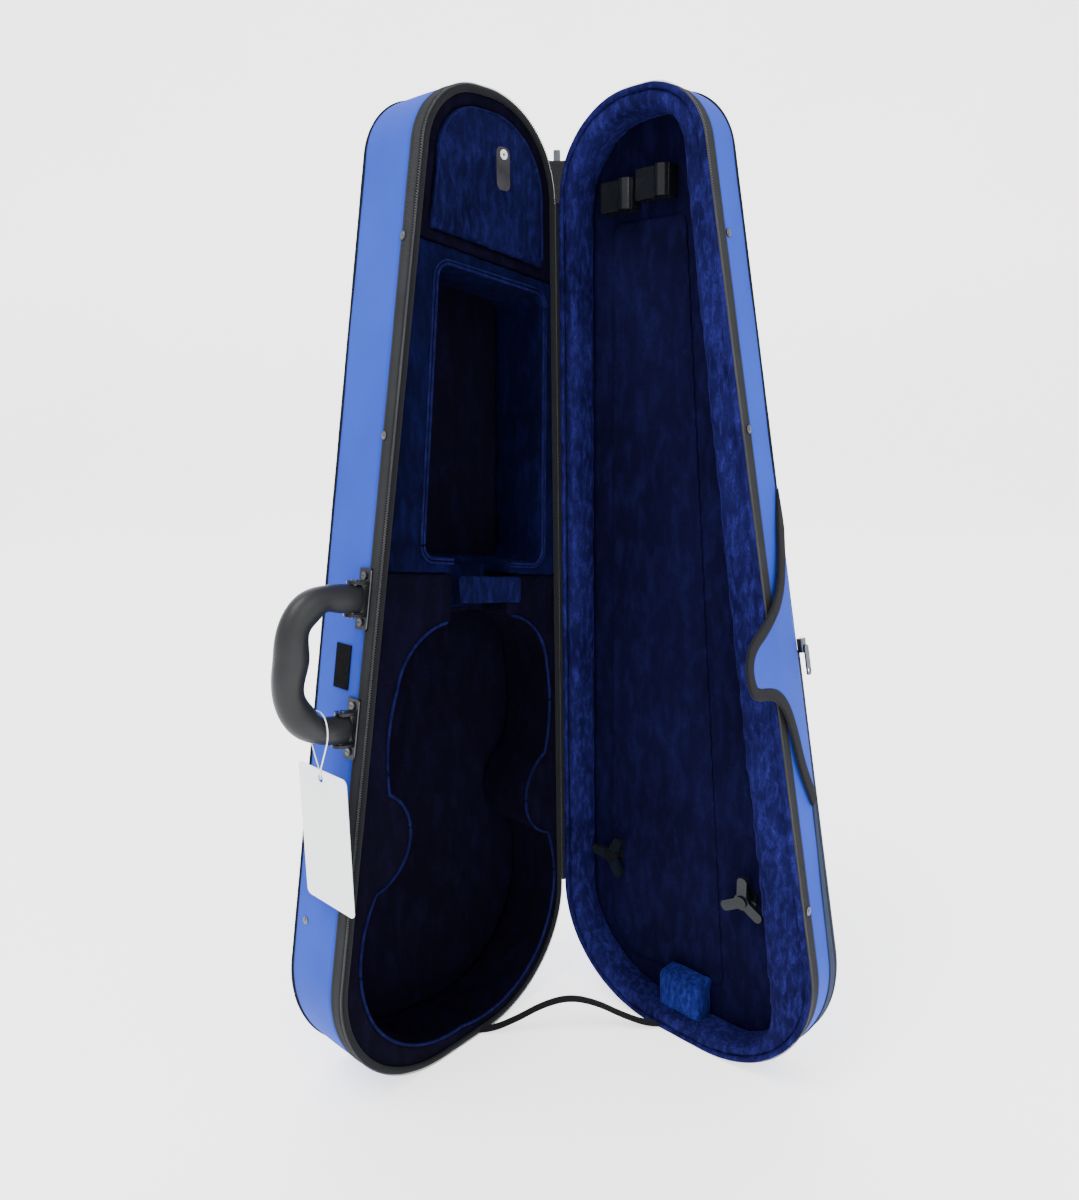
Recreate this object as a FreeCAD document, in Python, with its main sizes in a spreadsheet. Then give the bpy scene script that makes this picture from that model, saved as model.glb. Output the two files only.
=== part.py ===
"""Violin case, full size, standing open on its wide end.

Two tapered shells meet along a straight cloth hinge: a deep half for the violin and a shallow
lid for the bows. Every piece is drawn in the frame of the half that it belongs to:
  x  distance from the hinge line, out along the mouth of the half
  y  0 at the mouth; the deep half lies at y < 0 and the closed lid at y > 0
  z  height above the floor, with the narrow tip at the top
The deep half keeps that frame. The lid is turned open about the hinge line, x = y = 0.
The origin of the finished part is the middle of the flat end face of the deep half.
"""

import FreeCAD
import Part

import math
import os

import Sketcher
from FreeCAD import Matrix, Placement, Rotation, Vector

DIMENSIONS = {
    # outline of both halves
    "case_length": 778,
    "floor_width": 272.8,
    "side_slope": 0.182,
    "tip_hinge_radius": 72,
    "tip_outer_radius": 56,
    "end_hinge_radius": 104,
    "end_outer_radius": 98,
    "open_angle": 90,
    # layers of the deep half, as depths below its mouth
    "teeth_front": 0.4,
    "teeth_back": 2.6,
    "band_depth": 13.5,
    "body_seam": 65.5,
    "body_seam_back": 68.0,
    "body_depth": 69.2,
    # layers of the lid, as depths below its mouth
    "lid_seam": 38.5,
    "lid_seam_back": 41.0,
    "lid_depth": 42.0,
    # insets from the outline
    "flush": 0,
    "teeth_outside": 0.2,
    "teeth_inside": 1.4,
    "cover_inside": 2.4,
    "lining_outside": 2.5,
    "binding_outside": 1.5,
    "binding_inside": 6.5,
    "seam_outside": 0.1,
    "seam_inside": 1.6,
    "panel_edge": 1.7,
    # foam insert of the deep half
    "binding_front": 0.9,
    "binding_back": 2.5,
    "insert_front": 3.0,
    "insert_back": 60.0,
    "floor_back": 65.4,
    "cross_slope": 0.16,
    "nest_split": 398.0,
    "scroll_split": 643.5,
    "compartment_base": 652.0,
    "rebate_base": 651.0,
    "hollow_base": 661.0,
    "compartment_edge": 15.5,
    "rebate_edge": 14.7,
    "compartment_wall": 23.0,
    "compartment_lid_front": 1.2,
    "compartment_lid_back": 7.2,
    "rebate_back": 7.6,
    "neck_slot_back": 38.0,
    "neck_slot_half": 31.0,
    "neck_pad_front": 31.0,
    "neck_strap_front": 0.6,
    "neck_strap_back": 2.9,
    "piping_front": 1.4,
    "piping_width": 4.0,
    # lining of the lid
    "recess_left": 13.0,
    "recess_bottom": 15.0,
    "recess_top": 761.0,
    "recess_width": 228.2,
    "recess_slope": 0.149,
    "recess_tip_hinge": 58.0,
    "recess_tip_outer": 34.0,
    "recess_end_hinge": 90.0,
    "recess_end_outer": 48.0,
    "rim_pad_front": 1.0,
    "lid_floor_front": 34.0,
    "lid_floor_back": 38.4,
    "lid_panel_front": 32.0,
    # handle, in the frame of the outer side wall
    "handle_height": 360.0,
    "handle_level": 17.0,
    "arm_spacing": 98.0,
    "pin_offset": 11.0,
    "pin_radius": 2.4,
    "grip_reach": 59.5,
    "upper_corner": 30.0,
    "lower_corner": 40.0,
    "bracket_length": 46.0,
    "bracket_width": 13.0,
    "bracket_plate": 2.0,
    "lug_gap": 22.0,
    "lug_thickness": 2.2,
    "lug_reach": 17.0,
    # flap and pocket on the outside of the lid
    "flap_height": 358.0,
    "flap_inside": 3.8,
    "flap_outside": 5.4,
    "pocket_top_base": 327.0,
    "pocket_back": 46.5,
    "pocket_edge_outside": 0.3,
    "pocket_edge_inside": 4.2,
    "pocket_panel_edge": 4.5,
    # tag and strap
    "card_width": 60.0,
    "card_height": 108.0,
    "card_thickness": 0.7,
    "thread_radius": 0.5,
    "strap_width": 9.0,
    "strap_thickness": 1.6,
}

doc = FreeCAD.newDocument("violin_case")
sheet = doc.addObject("Spreadsheet::Sheet", "Dims")
for row, (alias, size) in enumerate(DIMENSIONS.items(), start=1):
    sheet.set(f"A{row}", alias)
    sheet.set(f"B{row}", str(size))
    sheet.setAlias(f"B{row}", alias)
doc.recompute()


def dim(alias):
    """The number in the sheet's cell of that name."""
    return float(sheet.get(alias))


# ---------------------------------------------------------------- frames

flat_start = dim("end_hinge_radius")
flat_end = dim("floor_width") - dim("end_outer_radius") * (
    dim("side_slope") + math.hypot(1, dim("side_slope"))
)
FOOT = Vector((flat_start + flat_end) / 2, -dim("body_depth") / 2, 0)
TAPER = math.degrees(math.atan(dim("side_slope")))
DEEP = Placement(-FOOT, Rotation())
LID = Placement(-FOOT, Rotation(Vector(0, 0, 1), dim("open_angle")))


def wall_frame(half, height):
    """The frame of a half's outer side wall: x out of the wall, z up along it."""
    foot = Vector(dim("floor_width") - dim("side_slope") * height, 0, height)
    return half.multiply(Placement(foot, Rotation(Vector(0, 1, 0), -TAPER)))


DEEP_WALL = wall_frame(DEEP, dim("handle_height"))
LID_WALL = wall_frame(LID, dim("flap_height"))

nodes = []


def keep(piece, label, placement):
    """Name a finished sub-part and put it in its place."""
    piece.Label = label
    piece.Placement = placement
    nodes.append(piece)
    return piece


def shaped(label, shape, placement):
    """A sub-part whose shape comes from Part's own functions."""
    piece = doc.addObject("Part::Feature", label)
    piece.Shape = shape
    return keep(piece, label, placement.multiply(shape.Placement))


# ---------------------------------------------------------------- sketches

CASE = {
    "left": "flush",
    "bottom": "flush",
    "top": "case_length",
    "width": "floor_width",
    "slope": "side_slope",
    "radii": ("end_hinge_radius", "end_outer_radius", "tip_outer_radius", "tip_hinge_radius"),
}
RECESS = {
    "left": "recess_left",
    "bottom": "recess_bottom",
    "top": "recess_top",
    "width": "recess_width",
    "slope": "recess_slope",
    "radii": ("recess_end_hinge", "recess_end_outer", "recess_tip_outer", "recess_tip_hinge"),
}


def corner_centres(outline):
    """Expressions for the centres of an outline's four corners, from the hinge end round."""
    left, bottom, top, width, slope = (
        f"Dims.{outline[side]}" for side in ("left", "bottom", "top", "width", "slope")
    )
    end_hinge, end_outer, tip_outer, tip_hinge = (f"Dims.{r}" for r in outline["radii"])
    back_off = f"sqrt(1 + {slope} * {slope})"
    end_height = f"({bottom} + {end_outer})"
    tip_height = f"({top} - {tip_outer})"
    return [
        (f"{left} + {end_hinge}", f"{bottom} + {end_hinge}"),
        (f"{width} - {slope} * {end_height} - {end_outer} * {back_off}", end_height),
        (f"{width} - {slope} * {tip_height} - {tip_outer} * {back_off}", tip_height),
        (f"{left} + {tip_hinge}", f"{top} - {tip_hinge}"),
    ]


def centre_guesses(outline):
    """The same centres as numbers, to start the sketch from."""
    left, bottom, top, width, slope = (
        dim(outline[side]) for side in ("left", "bottom", "top", "width", "slope")
    )
    end_hinge, end_outer, tip_outer, tip_hinge = (dim(r) for r in outline["radii"])
    back_off = math.hypot(1, slope)
    end_height = bottom + end_outer
    tip_height = top - tip_outer
    return [
        (left + end_hinge, bottom + end_hinge),
        (width - slope * end_height - end_outer * back_off, end_height),
        (width - slope * tip_height - tip_outer * back_off, tip_height),
        (left + tip_hinge, top - tip_hinge),
    ]


def add_outline(sketch, outline, inset):
    """Draw a tapered outline with four round corners, fully constrained."""
    tilt = math.atan(dim(outline["slope"]))
    turns = [math.pi, 1.5 * math.pi, 2 * math.pi + tilt, 2.5 * math.pi, 3 * math.pi]
    guesses = centre_guesses(outline)
    first = sketch.GeometryCount
    ends = []
    for corner, (x, z) in enumerate(guesses):
        radius = dim(outline["radii"][corner]) - dim(inset)
        start, stop = turns[corner], turns[corner + 1]
        circle = Part.Circle(Vector(x, z, 0), Vector(0, 0, 1), radius)
        sketch.addGeometry(Part.ArcOfCircle(circle, start, stop), False)
        ends.append([circle.value(start), circle.value(stop)])
    for corner in range(4):
        following = (corner + 1) % 4
        side = Part.LineSegment(ends[corner][1], ends[following][0])
        sketch.addGeometry(side, False)
    for corner in range(4):
        side = first + 4 + corner
        following = first + (corner + 1) % 4
        sketch.addConstraint(Sketcher.Constraint("Tangent", first + corner, 2, side, 1))
        sketch.addConstraint(Sketcher.Constraint("Tangent", side, 2, following, 1))
    for corner, (x_rule, z_rule) in enumerate(corner_centres(outline)):
        arc = first + corner
        x, z = guesses[corner]
        radius = outline["radii"][corner]
        bound = [
            (Sketcher.Constraint("Radius", arc, dim(radius) - dim(inset)),
             f"Dims.{radius} - Dims.{inset}"),
            (Sketcher.Constraint("DistanceX", -1, 1, arc, 3, x), x_rule),
            (Sketcher.Constraint("DistanceY", -1, 1, arc, 3, z), z_rule),
        ]
        for constraint, rule in bound:
            index = sketch.addConstraint(constraint)
            sketch.setExpression(f"Constraints[{index}]", rule)


def half_body(label):
    body = doc.addObject("PartDesign::Body", label)
    body.Label = label
    return body


def face_sketch(body, depth, lid=False):
    """A sketch parallel to the mouth of a half, at a named depth below it."""
    sketch = body.newObject("Sketcher::SketchObject", "Outline")
    plane = next(f for f in body.Origin.OriginFeatures if f.Role == "XZ_Plane")
    sketch.AttachmentSupport = [(plane, "")]
    sketch.MapMode = "FlatFace"
    sign = "-" if lid else ""
    sketch.setExpression("AttachmentOffset.Base.z", f"{sign}Dims.{depth}")
    return sketch


def pad(body, sketch, front, back, lid=False):
    feature = body.newObject("PartDesign::Pad", "Pad")
    feature.Profile = sketch
    feature.setExpression("Length", f"Dims.{back} - Dims.{front}")
    feature.Reversed = lid
    return feature


def pocket(body, sketch, front, back, lid=False):
    """Cut from one named depth to another, and make sure that something was cut."""
    doc.recompute()
    before = body.Shape.Volume
    feature = body.newObject("PartDesign::Pocket", "Pocket")
    feature.Profile = sketch
    feature.setExpression("Length", f"Dims.{back} - Dims.{front}")
    feature.Reversed = not lid
    doc.recompute()
    if body.Shape.Volume > before - 1:
        raise ValueError(f"a pocket in {body.Label} cut nothing")
    return feature


def band(label, outside, inside, front, back, lid=False):
    """A closed band that follows the case outline between two insets and two depths."""
    body = half_body(label)
    sketch = face_sketch(body, front, lid)
    add_outline(sketch, CASE, outside)
    add_outline(sketch, CASE, inside)
    pad(body, sketch, front, back, lid)
    return keep(body, label, LID if lid else DEEP)


def plate(label, inset, front, back, lid=False):
    """A plate that fills the case outline at an inset."""
    body = half_body(label)
    sketch = face_sketch(body, front, lid)
    add_outline(sketch, CASE, inset)
    pad(body, sketch, front, back, lid)
    return keep(body, label, LID if lid else DEEP)


def add_edges(sketch, edges):
    for edge in edges:
        sketch.addGeometry(edge, False)


def polygon(points):
    corners = [Vector(x, z, 0) for x, z in points]
    return [Part.LineSegment(a, b) for a, b in zip(corners, corners[1:] + corners[:1])]


def rounded(points, radius):
    """The edges of a polygon whose corners are arcs of one radius."""
    corners = [Vector(x, z, 0) for x, z in points]
    edges = []
    for before, corner, after in zip(corners[-1:] + corners, corners, corners[1:] + corners[:1]):
        to_before = (before - corner).normalize()
        to_after = (after - corner).normalize()
        half = to_before.getAngle(to_after) / 2
        reach = radius / math.tan(half)
        middle = corner + (to_before + to_after).normalize() * (radius / math.sin(half))
        inner = middle + (corner - middle).normalize() * radius
        edges.append(Part.Arc(corner + to_before * reach, inner, corner + to_after * reach))
    sides = []
    for arc, following in zip(edges, edges[1:] + edges[:1]):
        sides.append(arc)
        sides.append(Part.LineSegment(arc.EndPoint, following.StartPoint))
    return sides


def cross_height(base, x):
    """Height at x of a line that runs across the case, square to its outer side."""
    return dim(base) + dim("cross_slope") * x


def beyond(base, upward):
    """A four-sided outline that covers all of the case on one side of such a line."""
    near, far = -30, 320
    limit = dim("case_length") + 60 if upward else -60
    return polygon(
        [(near, cross_height(base, near)), (far, cross_height(base, far)), (far, limit),
         (near, limit)]
    )


# ---------------------------------------------------------------- deep half: cover


def deep_cover():
    band("body_zip_teeth", "teeth_outside", "teeth_inside", "teeth_front", "teeth_back")
    band("body_zip_tape", "flush", "cover_inside", "teeth_back", "band_depth")
    band("body_rim_binding", "binding_outside", "binding_inside", "binding_front", "binding_back")
    band("body_side_cover", "flush", "cover_inside", "band_depth", "body_seam")
    plate("body_back_panel", "panel_edge", "body_seam", "body_depth")
    plate("insert_floor", "lining_outside", "insert_back", "floor_back")


# ---------------------------------------------------------------- deep half: insert

# Half of the violin nest, as steps across and along the violin's own axis.
NEST_BOTTOM = (0, 18)
NEST_ARCS = [
    ((58, 26), (97, 62)),
    ((111, 115), (98, 170)),
    ((66, 212), (88, 248)),
    ((91, 290), (84, 330)),
    ((68, 362), (36, 378)),
]
NEST_FOOT = 133.0
NEST_LEAN = 0.1


def nest_point(across, along):
    """A point of the nest in the frame of the half; the violin leans towards the hinge."""
    reach = math.hypot(1, NEST_LEAN)
    x = NEST_FOOT + (across - along * NEST_LEAN) / reach
    z = (along + across * NEST_LEAN) / reach
    return x, z


def nest_edges():
    """The closed outline of the violin's body, with the waist and both bouts."""

    def side(sign):
        start = NEST_BOTTOM
        arcs = []
        for through, end in NEST_ARCS:
            points = [nest_point(sign * a, b) for a, b in (start, through, end)]
            arcs.append([Vector(x, z, 0) for x, z in points])
            start = end
        return arcs

    right = side(-1)
    left = side(1)
    edges = [Part.Arc(*points) for points in left]
    edges.append(Part.LineSegment(left[-1][2], right[-1][2]))
    edges += [Part.Arc(*reversed(points)) for points in reversed(right)]
    return edges


def neck_slot_edges():
    """The slot for the neck, from inside the nest into the scroll well."""
    half = dim("neck_slot_half")
    low, high = 340, 470
    return polygon([nest_point(a, b) for a, b in
                    ((-half, low), (half, low), (half, high), (-half, high))])


def well_points():
    """Corners of the scroll well."""
    return [(23, 412), (152, 436), (126, 650), (16, 633)]


def insert_block(label, lower, upper):
    """The part of the foam insert between two lines across the case."""
    body = half_body(label)
    sketch = face_sketch(body, "insert_front")
    add_outline(sketch, CASE, "lining_outside")
    pad(body, sketch, "insert_front", "insert_back")
    for base, upward in ((lower, False), (upper, True)):
        if base:
            cut = face_sketch(body, "insert_front")
            add_edges(cut, beyond(base, upward))
            pocket(body, cut, "insert_front", "insert_back")
    return body


def cut_edges(body, edges, front, back):
    sketch = face_sketch(body, front)
    add_edges(sketch, edges)
    pocket(body, sketch, front, back)


def nest_insert():
    body = insert_block("nest_insert", None, "nest_split")
    cut_edges(body, nest_edges(), "insert_front", "insert_back")
    cut_edges(body, neck_slot_edges(), "insert_front", "neck_slot_back")
    keep(body, "nest_insert", DEEP)


def scroll_insert():
    body = insert_block("scroll_insert", "nest_split", "scroll_split")
    cut_edges(body, rounded(well_points(), 10), "insert_front", "insert_back")
    cut_edges(body, neck_slot_edges(), "insert_front", "neck_slot_back")
    keep(body, "scroll_insert", DEEP)


def above_line(body, edges_inset, base, front, back):
    """A tapered outline that is cut off below a line across the case."""
    sketch = face_sketch(body, front)
    add_outline(sketch, CASE, edges_inset)
    pad(body, sketch, front, back)
    cut_edges(body, beyond(base, False), front, back)


def compartment_hole(label, inset, base, front, back):
    body = half_body(label)
    above_line(body, inset, base, front, back)
    return body


def compartment_insert():
    """The accessory compartment, with a rebate that its lid sits in."""
    block = insert_block("compartment_block", "scroll_split", None)
    rebate = compartment_hole("compartment_rebate", "rebate_edge", "rebate_base",
                              "insert_front", "rebate_back")
    hollow = compartment_hole("compartment_hollow", "compartment_wall", "hollow_base",
                              "insert_front", "insert_back")
    tools = doc.addObject("Part::MultiFuse", "CompartmentTools")
    tools.Shapes = [rebate, hollow]
    insert = doc.addObject("Part::Cut", "compartment_insert")
    insert.Base = block
    insert.Tool = tools
    keep(insert, "compartment_insert", DEEP)


def compartment_lid():
    body = half_body("compartment_lid")
    above_line(body, "compartment_edge", "compartment_base",
               "compartment_lid_front", "compartment_lid_back")
    keep(body, "compartment_lid", DEEP)


def well_piping():
    """Piped edging round the mouth of the scroll well."""
    body = half_body("well_piping")
    sketch = face_sketch(body, "piping_front")
    points = well_points()
    middle_x = sum(x for x, _ in points) / 4
    middle_z = sum(z for _, z in points) / 4
    step = dim("piping_width")
    wider = [(x + math.copysign(step, x - middle_x), z + math.copysign(step, z - middle_z))
             for x, z in points]
    add_edges(sketch, rounded(points, 10))
    add_edges(sketch, rounded(wider, 13))
    pad(body, sketch, "piping_front", "insert_front")
    opening = face_sketch(body, "piping_front")
    add_edges(opening, neck_slot_edges())
    pocket(body, opening, "piping_front", "insert_front")
    keep(body, "well_piping", DEEP)


def neck_support():
    """The cradle under the neck and the soft strap across it."""
    half = dim("neck_slot_half") - 0.3
    cradle = half_body("neck_pad")
    sketch = face_sketch(cradle, "neck_pad_front")
    add_edges(sketch, polygon([nest_point(a, b) for a, b in
                               ((-half, 384), (half, 384), (half, 420), (-half, 420))]))
    pad(cradle, sketch, "neck_pad_front", "neck_slot_back")
    keep(cradle, "neck_pad", DEEP)
    strap = half_body("neck_strap")
    sketch = face_sketch(strap, "neck_strap_front")
    add_edges(sketch, rounded([(49, 382), (118, 393), (118, 415.5), (49, 404.5)], 3))
    pad(strap, sketch, "neck_strap_front", "neck_strap_back")
    keep(strap, "neck_strap", DEEP)


# ---------------------------------------------------------------- lid


def lid_cover():
    band("lid_zip_teeth", "teeth_outside", "teeth_inside", "teeth_front", "teeth_back", True)
    band("lid_zip_tape", "flush", "cover_inside", "teeth_back", "band_depth", True)
    band("lid_side_cover", "flush", "cover_inside", "band_depth", "lid_seam", True)
    plate("lid_back_panel", "panel_edge", "lid_seam", "lid_depth", True)
    plate("lid_floor", "lining_outside", "lid_floor_front", "lid_floor_back", True)


def lid_rim_pad():
    """The padded wall round the inside of the lid."""
    body = half_body("lid_rim_pad")
    sketch = face_sketch(body, "rim_pad_front", True)
    add_outline(sketch, CASE, "lining_outside")
    add_outline(sketch, RECESS, "flush")
    pad(body, sketch, "rim_pad_front", "lid_floor_front", True)
    keep(body, "lid_rim_pad", LID)


def lid_panel():
    """The stiffener under the lid's velvet."""
    body = half_body("lid_panel")
    sketch = face_sketch(body, "lid_panel_front", True)
    add_edges(sketch, rounded([(32, 66), (58, 36), (157, 44), (104, 690), (32, 690)], 8))
    pad(body, sketch, "lid_panel_front", "lid_floor_front", True)
    keep(body, "lid_panel", LID)


def plush_block():
    """The padded block at the wide end that the bows rest on."""
    width, height, front = 42, 35, 9
    block = Part.makeBox(width, dim("lid_panel_front") - front, height,
                         Vector(104, front, 15.3))
    edges = [e for e in block.Edges
             if all(abs(v.Point.y - front) < 0.01 for v in e.Vertexes)]
    shaped("plush_block", block.makeFillet(4, edges), LID)


def bow_holder(label, left, bottom):
    """A moulded loop: a flat front for the hair and a round rib for the stick."""
    width, height, wall = 32.0, 23.0, 1.6
    front = 22.0
    floor = dim("lid_floor_front")
    rib = 6.5
    outer = Part.makeBox(width, floor - front, height, Vector(left, front, bottom))
    hollow = Part.makeBox(width - 2 * wall, floor - front - 2 * wall, height,
                          Vector(left + wall, front + wall, bottom))
    centre = Vector(left + width - rib - 1, front + 1.5, bottom)
    up = Vector(0, 0, 1)
    loop = outer.fuse(Part.makeCylinder(rib, height, centre, up)).cut(hollow)
    loop = loop.cut(Part.makeCylinder(rib - wall, height, centre, up))
    shaped(label, loop.removeSplitter(), LID)


def turn_button(side, x, z, angles):
    """A post and a button with three curved lobes that turns on it."""
    floor = dim("lid_panel_front") if side == "left" else dim("lid_floor_front")
    front = 21.0
    inward = Vector(0, 1, 0)
    post = Part.makeCylinder(3.2, floor - front - 0.5, Vector(x, front + 0.5, z), inward)
    foot = Part.makeCylinder(9, 1.6, Vector(x, floor - 1.6, z), inward)
    bore = Part.makeCylinder(3.6, 8, Vector(x, front - 1, z), inward)
    cap = Part.makeCylinder(5.2, 1.6, Vector(x, front - 1.1, z), inward)
    shaped(f"turn_post_{side}", post.fuse(foot).fuse(cap).removeSplitter(), LID)
    button = Part.makeCylinder(7, 4.5, Vector(x, front + 0.8, z), inward)
    for turn in angles:
        lobe = Part.makeBox(21.5, 4.5, 9, Vector(0, 0, -4.5))
        upright = [e for e in lobe.Edges
                   if abs(e.Vertexes[0].Y - e.Vertexes[1].Y) > 1]
        lobe = lobe.makeFillet(4, upright)
        lobe.Placement = Placement(Vector(x, front + 0.8, z), Rotation(Vector(0, 1, 0), -turn))
        button = button.fuse(lobe)
    shaped(f"turn_button_{side}", button.cut(bore).removeSplitter(), LID)


def pocket_on_lid():
    """A flat zipped pocket on the outer face of the lid, over its lower half."""
    zipper = half_body("pocket_zipper")
    sketch = face_sketch(zipper, "lid_depth", True)
    add_outline(sketch, CASE, "pocket_edge_outside")
    add_outline(sketch, CASE, "pocket_edge_inside")
    pad(zipper, sketch, "lid_depth", "pocket_back", True)
    for edges in (beyond("pocket_top_base", True),
                  polygon([(-30, -30), (60, -30), (60, 800), (-30, 800)])):
        cut = face_sketch(zipper, "lid_depth", True)
        add_edges(cut, edges)
        pocket(zipper, cut, "lid_depth", "pocket_back", True)
    keep(zipper, "pocket_zipper", LID)
    panel = half_body("pocket_panel")
    sketch = face_sketch(panel, "lid_depth", True)
    add_outline(sketch, CASE, "pocket_panel_edge")
    pad(panel, sketch, "lid_depth", "pocket_back", True)
    cut = face_sketch(panel, "lid_depth", True)
    add_edges(cut, beyond("pocket_top_base", True))
    pocket(panel, cut, "lid_depth", "pocket_back", True)
    keep(panel, "pocket_panel", LID)


def pocket_slider():
    """The slider of the pocket's zipper and the pull that swings on it."""
    depth = 41.3
    slider = Part.makeBox(5.2, 6.4, 11, Vector(0.4, depth, -2))
    long_edges = [e for e in slider.Edges
                  if abs(e.Vertexes[0].Z - e.Vertexes[1].Z) > 5]
    shaped("pocket_slider", slider.makeFillet(1.2, long_edges), LID_WALL)
    pull = Part.makeBox(1.2, 6, 24, Vector(5.9, depth + 0.2, -20))
    ends = [e for e in pull.Edges if abs(e.Vertexes[0].X - e.Vertexes[1].X) > 1]
    eye = Part.makeCylinder(1.8, 3, Vector(5, depth + 3.2, -16), Vector(1, 0, 0))
    shaped("pocket_pull", pull.makeFillet(2.4, ends).cut(eye), LID_WALL)


FLAP = [(39, 134), (30, 82), (14, 48), (-11, 29), (-26, 17), (-31, -4), (-25, -25), (-8, -33),
        (3, -42), (11, -62), (16, -88), (30, -119), (39, -119)]


def rain_flap():
    """The cloth flap that hangs from the lid's side and covers the zipper at the handle."""
    inside, outside = dim("flap_inside"), dim("flap_outside")
    binding = 5.5
    outer = Part.Wire([e.toShape() for e in rounded(FLAP, 4)])
    core = outer.makeOffset2D(-binding)
    thick = Vector(0, 0, outside - inside)
    cloth = Part.Face(core).extrude(thick)
    sewn = Part.makeBox(5, 210, inside, Vector(27, -108, -inside))
    ring = Part.Face(outer).cut(Part.Face(core)).extrude(thick)
    upright = Placement(Vector(inside, 0, 0),
                        Rotation(Vector(0, 1, 0), Vector(0, 0, 1), Vector(1, 0, 0)))
    place = LID_WALL.multiply(upright)
    shaped("rain_flap", cloth.fuse(sewn).removeSplitter(), place)
    shaped("flap_binding", ring, place)


# ---------------------------------------------------------------- small parts on the sides


def rivets(label, half, places, lid=False):
    """Domed rivets in the side wall, as (depth, height) pairs."""
    heads = []
    for depth, height in places:
        foot = Vector(dim("floor_width") - dim("side_slope") * height, depth if lid else -depth,
                      height)
        rim = Part.makeCylinder(3.2, 0.9)
        dome = Part.makeSphere(4.4, Vector(0, 0, -2.9)).common(Part.makeCylinder(2.4, 1.6))
        head = rim.fuse(dome).removeSplitter()
        out = Vector(math.cos(math.radians(TAPER)), 0, math.sin(math.radians(TAPER)))
        head.Placement = Placement(foot + out * 0.05, Rotation(Vector(0, 0, 1), out))
        heads.append(head)
    shaped(label, Part.Compound(heads), half)


def bracket(label, centre):
    """A plate with two lugs that hold the end of the handle."""
    level = dim("handle_level")
    width, length = dim("bracket_width"), dim("bracket_length")
    base = Part.makeBox(dim("bracket_plate"), width, length,
                        Vector(0, -level - width / 2, centre - length / 2))
    up = Vector(0, 0, 1)
    for side in (-1, 1):
        gap = dim("lug_gap") / 2
        low = gap if side > 0 else -gap - dim("lug_thickness")
        lug = Part.makeBox(dim("lug_reach") - 5.5, 11, dim("lug_thickness"),
                           Vector(0, -level - 5.5, centre + low))
        tip = Part.makeCylinder(5.5, dim("lug_thickness"),
                                Vector(dim("lug_reach") - 5.5, -level, centre + low), up)
        base = base.fuse(lug).fuse(tip)
    pin_hole = Part.makeCylinder(dim("pin_radius"), length,
                                 Vector(dim("pin_offset"), -level, centre - length / 2), up)
    shaped(label, base.cut(pin_hole).removeSplitter(), DEEP_WALL)


def handle_fittings():
    level = dim("handle_level")
    spacing = dim("arm_spacing") / 2
    bracket("bracket_upper", spacing)
    bracket("bracket_lower", -spacing)
    grip = dim("lug_gap") / 2 + dim("lug_thickness") + 1.2
    pins = [Part.makeCylinder(dim("pin_radius"), 2 * grip,
                              Vector(dim("pin_offset"), -level, centre - grip))
            for centre in (spacing, -spacing)]
    shaped("handle_pins", Part.Compound(pins), DEEP_WALL)
    screws = []
    for centre in (spacing, -spacing):
        for step in (-17.5, 17.5):
            head = Part.makeCylinder(2.9, 1.4, Vector(dim("bracket_plate"), -level, centre + step),
                                     Vector(1, 0, 0))
            slot = Part.makeBox(1, 5, 0.9, Vector(dim("bracket_plate") + 0.8, -level - 2.5,
                                                  centre + step - 0.45))
            screws.append(head.cut(slot))
    shaped("bracket_screws", Part.Compound(screws), DEEP_WALL)
    shaped("velcro_patch", Part.makeBox(1.2, 18, 34, Vector(0.02, -45, -22)), DEEP_WALL)


def handle_section(reach, height, turn, half_across, half_deep):
    """An oval section of the handle, square to its centre line."""
    across = Vector(-math.sin(turn), 0, math.cos(turn)) * half_across
    along = Vector(math.cos(turn), 0, math.sin(turn))
    level = -dim("handle_level")
    frame = Matrix(
        across.x, 0, along.x, reach,
        0, half_deep, 0, level,
        across.z, 0, along.z, height,
        0, 0, 0, 1,
    )
    return Part.Wire(Part.makeCircle(1)).transformGeometry(frame)


def handle():
    """A moulded loop that thickens into a grip, with an eye for a pin in each arm."""
    arm = dim("arm_spacing") / 2
    reach = dim("grip_reach")
    quarter = math.pi / 2

    def arm_sections(corner):
        bend = reach - corner
        sections = [
            (4.6, arm, 0, 10.2, 4.5),
            (8, arm, 0, 10.4, 7.0),
            (13, arm, 0, 10.6, 8.6),
            (min(bend, 24), arm, 0, 10.6, 9.8),
        ]
        for share in (0.33, 0.66, 1.0):
            turn = share * quarter
            sections.append((bend + corner * math.sin(turn), arm - corner + corner * math.cos(turn),
                             -turn, 10.8 + 1.2 * share, 10.2 + 1.0 * share))
        return sections

    upper = arm_sections(dim("upper_corner"))
    lower = [(r, -height, -math.pi - turn, across, deep)
             for r, height, turn, across, deep in reversed(arm_sections(dim("lower_corner")))]
    middle = [(reach - 1.0, 5, -quarter, 13.0, 11.8)]
    loft = Part.makeLoft([handle_section(*s) for s in upper + middle + lower], True)
    bore = Part.makeCylinder(dim("pin_radius") + 0.3, 2 * arm + 60,
                             Vector(dim("pin_offset"), -dim("handle_level"), -arm - 30))
    shaped("handle", loft.cut(bore), DEEP_WALL)


# ---------------------------------------------------------------- hinge, slider, strap, tag


def hinge_tape():
    """Cloth tape on the outside of each half, along the straight hinge."""
    low, high = dim("end_hinge_radius") + 2, dim("case_length") - dim("tip_hinge_radius") - 2
    for label, half, start in (("hinge_tape_body", DEEP, -15.5), ("hinge_tape_lid", LID, 2.5)):
        tape = Part.makeBox(1.0, 13, high - low, Vector(-1.02, start, low))
        shaped(label, tape, half)


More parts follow.
